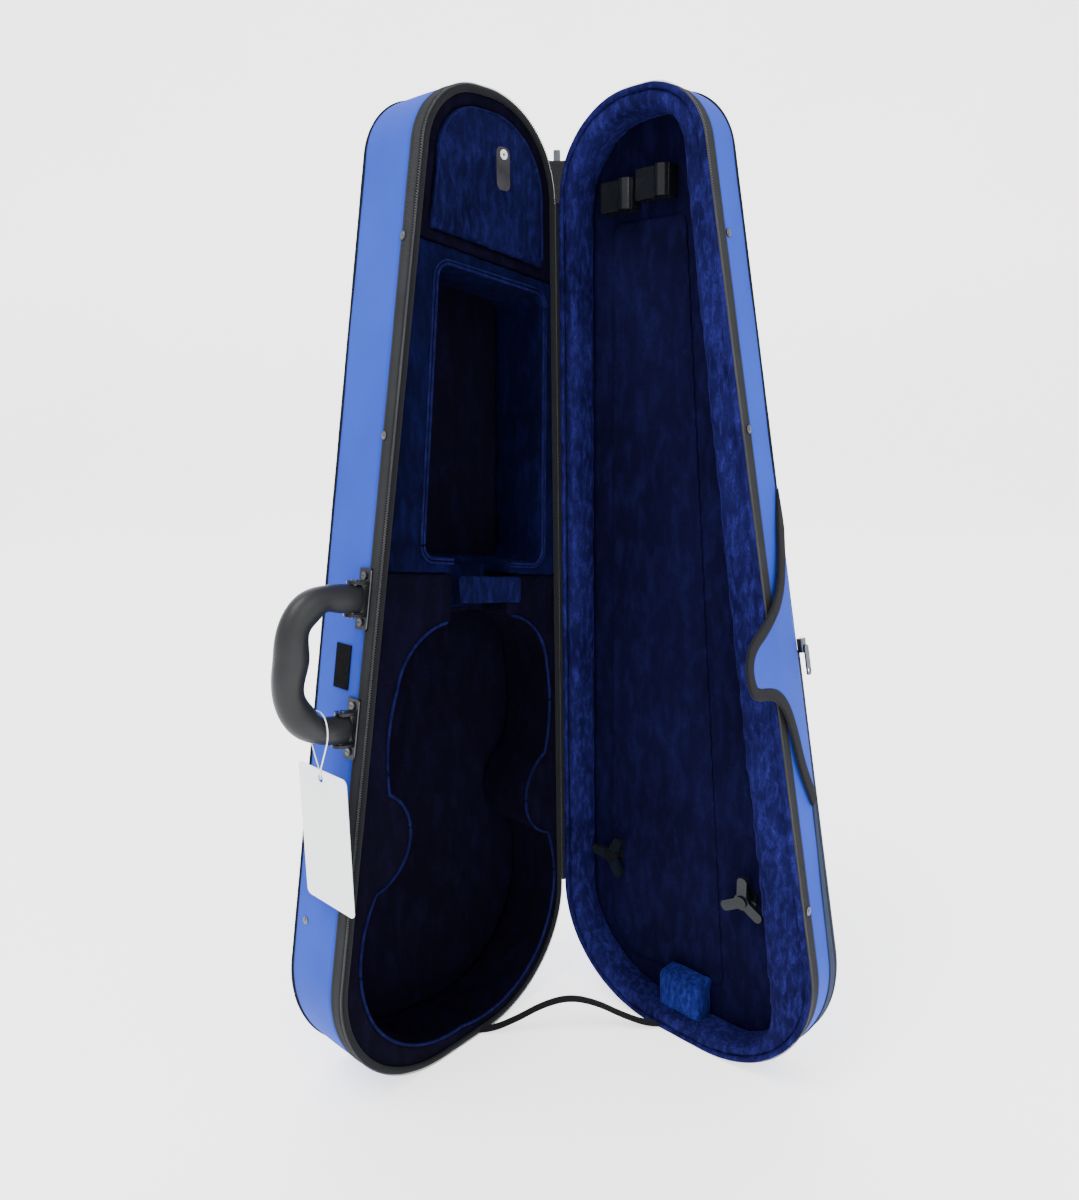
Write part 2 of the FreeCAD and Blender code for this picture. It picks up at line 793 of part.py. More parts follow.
def main_slider():
    """The slider of the case's zipper, parked above the hinge, and the closed tape under it."""
    middle, size, tall = 2.2, 5.4, 9.5
    block = Part.makeBox(size, size, tall, Vector(-size / 2, -size / 2, 0))
    edges = [e for e in block.Edges if abs(e.Vertexes[0].Z - e.Vertexes[1].Z) < 1]
    block = block.makeFillet(1.2, edges)
    block.Placement = Placement(Vector(middle, middle, 736), Rotation(Vector(0, 0, 1), 45))
    shaped("zipper_slider", block, DEEP)
    low, high = 708, 735.5
    web = Part.Face(Part.makePolygon([Vector(0, -0.4, low), Vector(0, 0.4, low),
                                      Vector(0, 2.6, high), Vector(0, -2.6, high),
                                      Vector(0, -0.4, low)])).extrude(Vector(0.8, 0, 0))
    web.Placement = Placement(Vector(1.2, 1.2, 0), Rotation(Vector(0, 0, 1), 45))
    shaped("zipper_web", web, DEEP)


def stay_strap():
    """A slack strap between the wide ends that stops the lid from opening too far."""
    body_end = Vector(104, 6, 3)
    lid_end = Vector(6, 104, 3)
    crest = Vector(55, 55, 33)
    thick = dim("strap_thickness") / 2
    chord = (lid_end - body_end).normalize()
    span = (lid_end - body_end).Length
    rise = crest.z - body_end.z
    slope = math.atan2(rise, span / 2)
    bend = 26.0
    cut = bend * math.tan(slope)

    def edge_points(offset):
        radius = bend + offset
        start = (-offset * math.sin(slope), offset * math.cos(slope))
        end = (span + offset * math.sin(slope), offset * math.cos(slope))
        middle = (span / 2, rise - bend / math.cos(slope))
        left = (middle[0] - radius * math.sin(slope), middle[1] + radius * math.cos(slope))
        right = (middle[0] + radius * math.sin(slope), middle[1] + radius * math.cos(slope))
        top = (middle[0], middle[1] + radius)
        return [Vector(x, 0, z) for x, z in (start, left, top, right, end)]

    over, under = edge_points(thick), edge_points(-thick)
    wire = Part.Wire([
        Part.LineSegment(over[0], over[1]).toShape(),
        Part.Arc(over[1], over[2], over[3]).toShape(),
        Part.LineSegment(over[3], over[4]).toShape(),
        Part.LineSegment(over[4], under[4]).toShape(),
        Part.LineSegment(under[4], under[3]).toShape(),
        Part.Arc(under[3], under[2], under[1]).toShape(),
        Part.LineSegment(under[1], under[0]).toShape(),
        Part.LineSegment(under[0], over[0]).toShape(),
    ])
    width = dim("strap_width")
    strap = Part.Face(wire).extrude(Vector(0, width, 0))
    strap.translate(Vector(0, -width / 2, 0))
    turn = Rotation(Vector(1, 0, 0), chord)
    strap.Placement = Placement(body_end, turn).multiply(strap.Placement)
    shaped("stay_strap", strap, DEEP)


def compartment_tab():
    """A leather tab that hangs from an eyelet in the compartment's lid."""
    x, z = 61, 733
    face = -dim("compartment_lid_front")
    out = Vector(0, 1, 0)
    hole = Part.makeCylinder(1.2, 6, Vector(x, face - 1, z), out)
    neck = Part.makeCylinder(1.9, 2.1, Vector(x, face, z), out)
    rim = Part.makeCylinder(3.6, 0.6, Vector(x, face + 1.9, z), out)
    shaped("tab_eyelet", neck.fuse(rim).cut(hole).removeSplitter(), DEEP)
    width, tall, thick = 14, 31, 1.1
    leather = Part.makeBox(width, thick, tall, Vector(x - width / 2, face + 0.35, z + 5.5 - tall))
    corners = [e for e in leather.Edges if abs(e.Vertexes[0].Y - e.Vertexes[1].Y) > 0.5]
    leather = leather.makeFillet(5, corners)
    shaped("compartment_tab", leather.cut(Part.makeCylinder(2.3, 6, Vector(x, face - 1, z), out)),
           DEEP)


# The loop of thread, from the hole in the card up over the handle's lower arm and back.
THREAD = [(250.0, -12.9, 283.6), (248.3, -14.5, 286.5), (246.3, -25, 302), (245.6, -30.6, 317),
          (245.5, -25.5, 333), (245.5, -8.8, 333.5), (246.2, -3.4, 318), (249.6, -6.5, 302),
          (251.9, -10.5, 288), (250.0, -11.2, 283.8)]


def tag():
    """A blank swing tag on a loop of thread over the lower arm of the handle."""
    hole = Vector(250, -12, 284)
    width, tall, thick = dim("card_width"), dim("card_height"), dim("card_thickness")
    card = Part.makeBox(thick, width, tall, Vector(hole.x - thick / 2, -40, hole.z + 7 - tall))
    corners = [e for e in card.Edges if abs(e.Vertexes[0].X - e.Vertexes[1].X) > 0.5]
    card = card.makeFillet(4.5, corners)
    card = card.cut(Part.makeCylinder(3.2, 4, hole - Vector(2, 0, 0), Vector(1, 0, 0)))
    shaped("hang_tag", card, DEEP)
    shaped("tag_thread", cord(THREAD, dim("thread_radius")), DEEP)


def cord(route, radius):
    """A tube along straight runs joined by tangent arcs."""
    points = [Vector(*p) for p in route]
    edges = []
    start = points[0]
    for before, corner, after in zip(points, points[1:], points[2:]):
        back, ahead = before - corner, after - corner
        half_turn = (math.pi - back.getAngle(ahead)) / 2
        reach = 0.45 * min(back.Length, ahead.Length)
        bend = reach / math.tan(half_turn)
        print("bend radius", round(bend, 2))
        inward = (back.normalize() + ahead.normalize()).normalize()
        middle = corner + inward * (bend / math.cos(half_turn) - bend)
        enter, leave = corner + back * reach, corner + ahead * reach
        edges.append(Part.LineSegment(start, enter).toShape())
        edges.append(Part.Arc(enter, middle, leave).toShape())
        start = leave
    edges.append(Part.LineSegment(start, points[-1]).toShape())
    wire = Part.Wire(edges)
    profile = Part.Wire(Part.makeCircle(radius, points[0], points[1] - points[0]))
    tube = wire.makePipeShell([profile], True, True)
    print("cord", round(wire.Length, 1), round(tube.Volume / (math.pi * radius ** 2), 1))
    return tube


# ---------------------------------------------------------------- build

deep_cover()
band("body_back_piping", "seam_outside", "seam_inside", "body_seam", "body_seam_back")
nest_insert()
scroll_insert()
compartment_insert()
compartment_lid()
well_piping()
neck_support()
lid_cover()
band("lid_back_piping", "seam_outside", "seam_inside", "lid_seam", "lid_seam_back", True)
lid_rim_pad()
lid_panel()
plush_block()
bow_holder("bow_holder_left", 28, 697)
bow_holder("bow_holder_right", 63, 702)
turn_button("left", 38, 134, (60, 180, 300))
turn_button("right", 178, 140, (90, 210, 330))
pocket_on_lid()
pocket_slider()
rain_flap()
rivets("body_rivets", DEEP, [(12, 667), (12, 527), (54, 151)])
rivets("lid_rivets", LID, [(17, 667), (11, 527), (10, 163)], True)
handle_fittings()
handle()
hinge_tape()
main_slider()
stay_strap()
compartment_tab()
tag()

doc.recompute()
for item in doc.Objects:
    if "Invalid" in item.State or "Error" in item.State:
        raise ValueError(f"{item.Label}: {item.State}")
os.makedirs("parts", exist_ok=True)
for piece in nodes:
    if piece.Shape.isNull() or not piece.Shape.isValid():
        raise ValueError(f"{piece.Label} has no valid shape")
    piece.Shape.exportStep(f"parts/{piece.Label}.step")
    print(piece.Label, round(piece.Shape.Volume), piece.Shape.BoundBox)
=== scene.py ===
"""Looks of the open violin case: cloth cover, zippers, velvet linings, fittings and studio."""

import math

import bmesh
import bpy
import numpy as np
from mathutils import Matrix, Vector, noise


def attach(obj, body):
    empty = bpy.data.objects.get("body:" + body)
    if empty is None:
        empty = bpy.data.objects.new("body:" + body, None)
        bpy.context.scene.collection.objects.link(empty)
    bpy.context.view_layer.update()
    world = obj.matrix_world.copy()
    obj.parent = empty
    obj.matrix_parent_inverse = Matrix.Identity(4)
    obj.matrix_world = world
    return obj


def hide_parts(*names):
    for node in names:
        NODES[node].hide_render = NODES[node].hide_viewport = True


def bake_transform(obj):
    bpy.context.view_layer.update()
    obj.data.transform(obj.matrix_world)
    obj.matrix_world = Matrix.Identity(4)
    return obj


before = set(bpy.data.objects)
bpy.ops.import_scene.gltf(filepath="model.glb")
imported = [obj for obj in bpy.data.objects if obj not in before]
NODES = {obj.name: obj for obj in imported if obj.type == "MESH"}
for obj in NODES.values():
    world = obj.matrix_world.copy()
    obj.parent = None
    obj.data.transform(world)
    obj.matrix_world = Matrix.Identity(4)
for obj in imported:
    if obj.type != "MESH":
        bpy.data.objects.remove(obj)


def write_sizes():
    """Bring the scene's matrices up to date."""
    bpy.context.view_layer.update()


write_sizes()

# ---------------------------------------------------------------- frames
# Pieces are drawn in millimetres in the frame of their half: x from the hinge line, depth below
# the mouth, z up from the floor. The deep half's depth runs to -Y and the open lid's to -X.

FOOT_X, FOOT_Y = 129.677, 34.6


def place(half, points):
    """Points of a half, as (x, depth, z) in mm, in the row frame in metres."""
    p = np.asarray(points, float).reshape(-1, 3)
    if half == "deep":
        out = np.stack([p[:, 0] - FOOT_X, FOOT_Y - p[:, 1], p[:, 2]], 1)
    else:
        out = np.stack([-p[:, 1] - FOOT_X, p[:, 0] + FOOT_Y, p[:, 2]], 1)
    return out / 1000


BODY = {"deep": "deep_half", "lid": "lid"}
WIDTH, SLOPE, LENGTH = 272.8, 0.182, 778.0
TILT = math.atan(SLOPE)
LEAN, RISE = math.cos(TILT), math.sin(TILT)


def wall(out, depth, up, height):
    """A point of the outer side wall: out of it, below the mouth, and up along it."""
    foot = WIDTH - SLOPE * height
    return (foot + LEAN * out - RISE * up, depth, height + RISE * out + LEAN * up)


# ---------------------------------------------------------------- meshes


def mesh_object(name, verts, faces, material, body, smooth=True, uv=None):
    """An object from points in metres and faces, riding a body if one is named."""
    mesh = bpy.data.meshes.new(name)
    mesh.from_pydata([tuple(v) for v in verts], [], [tuple(f) for f in faces])
    if uv is not None:
        layer = mesh.uv_layers.new(name="weave")
        layer.data.foreach_set("uv", np.asarray(uv, np.float32).reshape(-1))
    mesh.update()
    made = bpy.data.objects.new(name, mesh)
    bpy.context.scene.collection.objects.link(made)
    if material:
        mesh.materials.append(material)
    if smooth:
        mesh.shade_smooth()
    if body:
        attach(made, body)
    return made


def running_length(points):
    """The length from the start of an open line to each of its points."""
    steps = np.linalg.norm(np.diff(points, axis=0), axis=1)
    return np.concatenate([[0], np.cumsum(steps)])


def uv_table(along, across):
    """UV corners of a grid, in mm: a running length for its rows and one for its columns."""
    uv = np.zeros((len(along), len(across), 2))
    uv[:, :, 0] = np.asarray(along)[:, None]
    uv[:, :, 1] = np.asarray(across)[None, :]
    return uv


def coordinates(mesh):
    """A mesh's vertices as rows of x, y, z."""
    co = np.zeros(len(mesh.vertices) * 3)
    mesh.vertices.foreach_get("co", co)
    return co.reshape(-1, 3)


def move_to(mesh, co):
    """Put a mesh's vertices at new places."""
    mesh.vertices.foreach_set("co", co.reshape(-1))
    mesh.update()


def outward(obj):
    """Turn a closed mesh's faces outwards."""
    work = bmesh.new()
    work.from_mesh(obj.data)
    bmesh.ops.recalc_face_normals(work, faces=work.faces)
    work.to_mesh(obj.data)
    work.free()
    return obj


def grid(name, points, uv, loop_rows, loop_columns, material, body, caps=False):
    """A surface from rows of points. Rows or columns may close on themselves."""
    rows, columns = points.shape[:2]
    verts = points.reshape(-1, 3)
    faces, corners = [], []
    for i in range(rows if loop_rows else rows - 1):
        for j in range(columns if loop_columns else columns - 1):
            a, b = (i, j), (i + 1, j)
            c, d = (i + 1, j + 1), (i, j + 1)
            faces.append([(r % rows) * columns + (s % columns) for r, s in (a, b, c, d)])
            corners += [uv[r, s] for r, s in (a, b, c, d)]
    if caps:
        faces.append(list(range(columns)))
        faces.append([(rows - 1) * columns + j for j in reversed(range(columns))])
        corners += [uv[0, j] for j in range(columns)]
        corners += [uv[rows - 1, j] for j in reversed(range(columns))]
    return outward(mesh_object(name, verts, faces, material, body, uv=corners))


CASE = dict(left=0, bottom=0, top=LENGTH, width=WIDTH, slope=SLOPE, radii=(104, 98, 56, 72))


def outline(shape, inset=0.0, step=4.0):
    """Points, outward normals and running length along a tapered outline with round corners."""
    left, bottom, top = shape["left"], shape["bottom"], shape["top"]
    width, slope = shape["width"], shape["slope"]
    r1, r2, r3, r4 = shape["radii"]
    off = math.hypot(1, slope)
    tilt = math.atan(slope)
    centres = [
        (left + r1, bottom + r1),
        (width - slope * (bottom + r2) - r2 * off, bottom + r2),
        (width - slope * (top - r3) - r3 * off, top - r3),
        (left + r4, top - r4),
    ]
    turns = [math.pi, 1.5 * math.pi, 2 * math.pi + tilt, 2.5 * math.pi, 3 * math.pi]
    points, normals = [], []
    for k in range(4):
        (cx, cz), r = centres[k], (r1, r2, r3, r4)[k]
        count = max(6, math.ceil(r * (turns[k + 1] - turns[k]) / step))
        for a in np.linspace(turns[k], turns[k + 1], count + 1):
            normals.append((math.cos(a), math.sin(a)))
            points.append((cx + (r - inset) * math.cos(a), cz + (r - inset) * math.sin(a)))
        (nx, nz), nr = centres[(k + 1) % 4], (r1, r2, r3, r4)[(k + 1) % 4]
        a = turns[k + 1]
        start = np.array(points[-1])
        end = np.array((nx + (nr - inset) * math.cos(a), nz + (nr - inset) * math.sin(a)))
        base = math.hypot(nx + nr * math.cos(a) - cx - r * math.cos(a),
                          nz + nr * math.sin(a) - cz - r * math.sin(a))
        count = max(2, math.ceil(base / step))
        for share in np.arange(1, count) / count:
            points.append(tuple(start + (end - start) * share))
            normals.append((math.cos(a), math.sin(a)))
    points = np.array(points)
    steps = np.linalg.norm(np.roll(points, -1, 0) - points, axis=1)
    return points, np.array(normals), np.concatenate([[0], np.cumsum(steps)])


def ripple(points, size, height, seed=0.0):
    """Soft unevenness of cloth, in mm, at points given in mm."""
    return np.array([height * noise.noise(Vector((p[0] / size + seed, p[1] / size, p[2] / size)))
                     for p in points])


def band(name, half, profile, material, nodes, closed=True, lumps=0.0, lump_size=45.0, step=4.0):
    """A band all round a half. profile is a list of (out of the outline, depth) in mm."""
    points, normals, length = outline(CASE, 0, step)
    profile = np.array(profile, float)
    n, m = len(points), len(profile)
    out = np.zeros((n, m, 3))
    for j, (outs, depth) in enumerate(profile):
        ring = points + normals * outs
        ring3 = np.stack([ring[:, 0], np.full(n, depth), ring[:, 1]], 1)
        if lumps:
            push = ripple(ring3, lump_size, lumps)
            ring3[:, 0] += normals[:, 0] * push
            ring3[:, 2] += normals[:, 1] * push
        ring3[:, 2] = np.maximum(ring3[:, 2], 0.15)
        out[:, j] = ring3
    across = running_length(profile)
    uv = uv_table(length, np.append(across, across[-1] + 1))
    world = place(half, out.reshape(-1, 3)).reshape(n, m, 3)
    piece = grid(name, world, uv, True, closed, material, BODY[half])
    if nodes:
        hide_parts(*nodes)
    return piece


def tube(name, path, radius, material, body, around=8, closed=False, flat=1.0, side=None):
    """A round or flattened tube along points in metres; side is the direction it is widest in."""
    path = np.asarray(path, float)
    if closed:
        ahead = np.roll(path, -1, 0) - np.roll(path, 1, 0)
    else:
        ahead = np.gradient(path, axis=0)
    ahead /= np.linalg.norm(ahead, axis=1)[:, None]
    side = np.array(side if side is not None else (0.0, 0.0, 1.0), float)
    across = np.cross(ahead, side)
    weak = np.linalg.norm(across, axis=1) < 1e-3
    across[weak] = np.cross(ahead[weak], (1.0, 0.0, 0.0))
    across /= np.linalg.norm(across, axis=1)[:, None]
    wide = np.cross(across, ahead)
    angles = np.arange(around) / around * 2 * math.pi
    ring = (np.cos(angles)[None, :, None] * across[:, None, :] * radius * flat
            + np.sin(angles)[None, :, None] * wide[:, None, :] * radius)
    points = path[:, None, :] + ring
    steps = np.linalg.norm(np.diff(path, axis=0), axis=1)
    length = np.concatenate([[0], np.cumsum(steps), [steps.sum() + steps[-1]]]) * 1000
    uv = uv_table(length, np.linspace(0, 2 * math.pi * radius * 1000, around + 1))
    return grid(name, points, uv, closed, True, material, body, caps=not closed)


def coil(name, half, path, normals, centre, material, nodes, pitch=1.9, radius=0.78, wire=0.36):
    """A nylon zipper coil along points (x, z) in mm, at (inset, depth) centre."""
    path = np.asarray(path, float)
    run = running_length(path)
    count = int(run[-1] / pitch * 9)
    at = np.linspace(0, run[-1], count)
    x, z = np.interp(at, run, path[:, 0]), np.interp(at, run, path[:, 1])
    nx, nz = np.interp(at, run, normals[:, 0]), np.interp(at, run, normals[:, 1])
    turn = at / pitch * 2 * math.pi
    out = radius * 0.75 * np.cos(turn) - centre[0]
    line = np.stack([x + nx * out, centre[1] + radius * np.sin(turn), z + nz * out], 1)
    line[:, 2] = np.maximum(line[:, 2], 0.45)
    piece = tube(name, place(half, line), wire / 1000, material, BODY[half], around=5)
    if nodes:
        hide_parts(*nodes)
    return piece


def evaluated(obj):
    """Replace an object's mesh with what its modifiers make of it."""
    graph = bpy.context.evaluated_depsgraph_get()
    done = bpy.data.meshes.new_from_object(obj.evaluated_get(graph))
    obj.modifiers.clear()
    obj.data = done
    return obj


def copy_of(name, node):
    """A copy of a CAD piece, to be shaped further."""
    made = bpy.data.objects.new(name, NODES[node].data.copy())
    bpy.context.scene.collection.objects.link(made)
    return made


def lining(name, node, voxel, material, body, rounds=6, lumps=0.35, swell=None):
    """A soft copy of a CAD foam piece: rounded edges, uneven nap and, if asked, cloth swelling.

    swell is (pressure, greatest movement in mm)."""
    made = copy_of(name, node)
    remesh = made.modifiers.new("remesh", "REMESH")
    remesh.mode = "VOXEL"
    remesh.voxel_size = voxel / 1000
    smooth = made.modifiers.new("soften", "SMOOTH")
    smooth.factor = 0.5
    smooth.iterations = rounds
    evaluated(made)
    if swell:
        puff(made, *swell)
    shift_along_normals(made, lumps)
    made.data.materials.clear()
    made.data.materials.append(material)
    made.data.shade_smooth()
    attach(made, body)
    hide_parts(node)
    return made


def shift_along_normals(obj, lumps):
    """Push the surface in and out a little, as pile and foam do."""
    co = coordinates(obj.data)
    normal = np.zeros(co.size)
    obj.data.vertices.foreach_get("normal", normal)
    push = ripple(co * 1000, 14.0, lumps / 1000)
    co += normal.reshape(-1, 3) * push[:, None]
    co[:, 2] = np.maximum(co[:, 2], 0.0002)
    move_to(obj.data, co)


def puff(obj, pressure, cap):
    """Let cloth with air inside it round the piece off, and keep each point near its start."""
    start = coordinates(obj.data)
    cloth = obj.modifiers.new("cloth", "CLOTH")
    cloth.settings.quality = 4
    cloth.settings.use_pressure = True
    cloth.settings.uniform_pressure_force = pressure
    cloth.settings.effector_weights.gravity = 0
    cloth.point_cache.frame_start = 1
    cloth.point_cache.frame_end = 20
    for step in range(1, 21):
        bpy.context.scene.frame_set(step)
    evaluated(obj)
    bpy.context.scene.frame_set(1)
    move = coordinates(obj.data) - start
    size = np.linalg.norm(move, axis=1)
    scale = np.minimum(1, cap / 1000 / np.maximum(size, 1e-9))
    move_to(obj.data, start + move * scale[:, None])


# ---------------------------------------------------------------- materials


class Paint:
    """A material with a Principled shader, and short calls to add nodes to it."""

    def __init__(self, name, color, roughness, **sockets):
        self.mat = bpy.data.materials.new(name)
        self.mat.use_nodes = True
        self.tree = self.mat.node_tree
        self.shader = self.tree.nodes["Principled BSDF"]
        self.set("Base Color", (*color, 1))
        self.set("Roughness", roughness)
        for socket, value in sockets.items():
            self.set(socket.replace("_", " "), value)
        self.where = self.node("ShaderNodeTexCoord")

    def set(self, socket, value):
        self.shader.inputs[socket].default_value = value

    def node(self, kind, **settings):
        made = self.tree.nodes.new(kind)
        for key, value in settings.items():
            setattr(made, key, value)
        return made

    def link(self, source, target):
        self.tree.links.new(source, target)

    def noise(self, scale, detail=3.0, distortion=0.0, uv=False, stretch=None):
        made = self.node("ShaderNodeTexNoise")
        made.inputs["Scale"].default_value = scale
        made.inputs["Detail"].default_value = detail
        made.inputs["Distortion"].default_value = distortion
        source = self.where.outputs["UV" if uv else "Object"]
        if stretch:
            mapping = self.node("ShaderNodeMapping")
            mapping.inputs["Scale"].default_value = stretch
            self.link(source, mapping.inputs["Vector"])
            source = mapping.outputs["Vector"]
        self.link(source, made.inputs["Vector"])
        return made.outputs["Fac"]

    def spread(self, value, low, high, to_low=0.0, to_high=1.0):
        made = self.node("ShaderNodeMapRange")
        for socket, number in zip(("From Min", "From Max", "To Min", "To Max"),
                                  (low, high, to_low, to_high)):
            made.inputs[socket].default_value = number
        self.link(value, made.inputs["Value"])
        return made.outputs["Result"]

    def math(self, operation, a, b=None):
        made = self.node("ShaderNodeMath", operation=operation)
        for socket, value in zip(made.inputs, (a, b)):
            if value is None:
                continue
            if isinstance(value, (int, float)):
                socket.default_value = value
            else:
                self.link(value, socket)
        return made.outputs["Value"]

    def mix(self, factor, a, b):
        made = self.node("ShaderNodeMix", data_type="RGBA")
        for socket, value in ((made.inputs[0], factor), (made.inputs[6], a), (made.inputs[7], b)):
            if isinstance(value, tuple):
                socket.default_value = (*value, 1)
            elif isinstance(value, (int, float)):
                socket.default_value = value
            else:
                self.link(value, socket)
        return made.outputs[2]

    def weave(self, across, along, slant=0.0):
        """Crossed threads over the UV map, whose unit is a millimetre. Runs from -1 to 1."""
        split = self.node("ShaderNodeSeparateXYZ")
        self.link(self.where.outputs["UV"], split.inputs["Vector"])
        x = self.math("MULTIPLY", split.outputs["X"], 2 * math.pi / across)
        y = self.math("MULTIPLY", split.outputs["Y"], 2 * math.pi / along)
        if slant:
            x = self.math("ADD", x, self.math("MULTIPLY", split.outputs["Y"], slant))
        return self.math("MULTIPLY", self.math("SINE", x), self.math("SINE", y))

    def bump(self, height, strength, distance, before=None):
        made = self.node("ShaderNodeBump")
        made.inputs["Strength"].default_value = strength
        made.inputs["Distance"].default_value = distance
        self.link(height, made.inputs["Height"])
        if before:
            self.link(before, made.inputs["Normal"])
        return made.outputs["Normal"]

    def colour(self, output):
        self.link(output, self.shader.inputs["Base Color"])

    def normal(self, output):
        self.link(output, self.shader.inputs["Normal"])

    def rough(self, output):
        self.link(output, self.shader.inputs["Roughness"])


def velvet(name, deep_colour, bright, crush, amount, nap=0.5):
    """Pile that turns light or dark as it is brushed. crush is how fine the marks are.

    The marks are small flecks drawn out along the height, gathered in wider clouds."""
    p = Paint(name, deep_colour, 0.9, Specular_IOR_Level=0.03, Sheen_Weight=nap,
              Sheen_Roughness=0.3, Sheen_Tint=(*[min(1, c * 4 + 0.02) for c in bright], 1))
    clouds = p.spread(p.noise(crush * 0.35, 3.0, 0.3), 0.35, 0.68)
    marks = p.spread(p.noise(crush * 4, 6.0, 0.4, stretch=(1.0, 1.0, 0.38)), 0.44, 0.72)
    fleck = p.spread(p.noise(900.0, 2.0, stretch=(1.0, 1.0, 0.5)), 0.35, 0.75)
    pile = p.math("ADD", p.math("MULTIPLY", clouds, 0.35), p.math("MULTIPLY", marks, 0.65))
    blend = p.math("MULTIPLY", p.math("ADD", p.math("MULTIPLY", fleck, 0.6), 0.4), pile)
    p.colour(p.mix(p.math("MULTIPLY", blend, amount), deep_colour, bright))
    soft = p.bump(p.noise(crush * 2.5, 4.0, 0.4), 0.35, 0.0015)
    p.normal(p.bump(p.noise(1300.0, 2.0), 0.5, 0.0006, soft))
    return p.mat


def nylon():
    """Blue woven cover cloth with a soft sheen and slight mottling."""
    p = Paint("blue_nylon", (0.014, 0.045, 0.36), 0.75, Specular_IOR_Level=0.08,
              Sheen_Weight=0.03, Sheen_Roughness=0.5)
    threads = p.weave(1.1, 1.1)
    mottle = p.noise(9.0, 4.0, 0.4)
    base = p.mix(p.spread(mottle, 0.3, 0.7), (0.012, 0.038, 0.31), (0.017, 0.052, 0.40))
    fine = p.spread(p.noise(2.2, 2.0, uv=True, stretch=(0.35, 3.0, 1.0)), 0.3, 0.7, 0.0, 1.0)
    shade = p.mix(p.math("MULTIPLY", fine, 0.25), base, (0.008, 0.026, 0.24))
    p.colour(p.mix(p.spread(threads, -1, 1, 0.0, 0.22), shade, (0.04, 0.09, 0.50)))
    wavy = p.bump(p.noise(24.0, 3.0), 0.25, 0.002)
    p.normal(p.bump(threads, 0.35, 0.00025, wavy))
    return p.mat


def tape():
    """Zipper tape: grey twill with lighter and darker patches."""
    p = Paint("zip_tape", (0.008, 0.0085, 0.01), 0.9, Specular_IOR_Level=0.04, Sheen_Weight=0.04)
    ribs = p.weave(1.5, 1.7, 1.8)
    wear = p.spread(p.noise(30.0, 4.0), 0.35, 0.7)
    base = p.mix(wear, (0.005, 0.0052, 0.006), (0.010, 0.0105, 0.012))
    p.colour(p.mix(p.spread(ribs, -1, 1, 0.0, 0.5), base, (0.045, 0.047, 0.05)))
    p.normal(p.bump(ribs, 0.6, 0.0004))
    return p.mat


def twill(name, dark, light):
    """Slanted weave of binding, webbing and side tape."""
    p = Paint(name, dark, 0.9, Specular_IOR_Level=0.04, Sheen_Weight=0.04)
    threads = p.weave(1.3, 1.3, 1.2)
    p.colour(p.mix(p.spread(threads, -1, 1, 0.0, 1.0), dark, light))
    p.normal(p.bump(threads, 0.6, 0.0003, p.bump(p.noise(120.0), 0.3, 0.0006)))
    return p.mat


def moulded(name, color, roughness, grain, scratches=0.15):
    """Moulded plastic with a fine grain and rubbed patches."""
    p = Paint(name, color, roughness, Specular_IOR_Level=0.22)
    rub = p.spread(p.noise(26.0, 5.0, 0.5), 0.35, 0.7)
    p.rough(p.spread(rub, 0, 1, roughness + 0.1, roughness - 0.1))
    light = tuple(min(1, c * 1.9 + 0.004) for c in color)
    p.colour(p.mix(p.math("MULTIPLY", rub, scratches * 3), color, light))
    p.normal(p.bump(p.noise(1100.0, 2.0), grain, 0.0003))
    return p.mat


def metal(name, color, roughness, brushed=0.3):
    """Brushed metal with darker, duller patches."""
    p = Paint(name, color, roughness, Metallic=1.0)
    marks = p.noise(240.0, 4.0, stretch=(1.0, 1.0, 0.12))
    p.rough(p.spread(marks, 0.3, 0.7, roughness - 0.05, roughness + 0.15))
    p.colour(p.mix(p.spread(p.noise(90.0), 0.4, 0.8), color, tuple(c * 0.7 for c in color)))
    p.normal(p.bump(marks, brushed, 0.0001))
    return p.mat


def leather():
    """Black leather with a fine grain."""
    p = Paint("leather", (0.02, 0.018, 0.022), 0.5, Specular_IOR_Level=0.2)
    cells = p.node("ShaderNodeTexVoronoi")
    cells.inputs["Scale"].default_value = 900.0
    p.link(p.where.outputs["Object"], cells.inputs["Vector"])
    worn = p.spread(p.noise(60.0), 0.35, 0.7)
    p.colour(p.mix(worn, (0.016, 0.0145, 0.018), (0.034, 0.032, 0.036)))
    p.normal(p.bump(cells.outputs["Distance"], 0.35, 0.0003))
    return p.mat


def card():
    """Blank white card with faint fibres."""
    p = Paint("tag_card", (0.8, 0.81, 0.83), 0.4, Specular_IOR_Level=0.4)
    fibres = p.noise(420.0, 5.0, 0.8)
    p.colour(p.mix(p.spread(fibres, 0.3, 0.7), (0.78, 0.795, 0.815), (0.84, 0.85, 0.865)))
    p.normal(p.bump(fibres, 0.08, 0.0002))
    return p.mat


def hook_and_loop():
    """The fuzzy patch of black hook-and-loop tape."""
    p = Paint("hook_and_loop", (0.004, 0.004, 0.005), 0.95, Specular_IOR_Level=0.03)
    fuzz = p.noise(1500.0, 3.0, 1.0)
    p.colour(p.mix(p.spread(fuzz, 0.35, 0.7), (0.002, 0.002, 0.0025), (0.010, 0.010, 0.012)))
    p.normal(p.bump(fuzz, 0.9, 0.0008))
    return p.mat


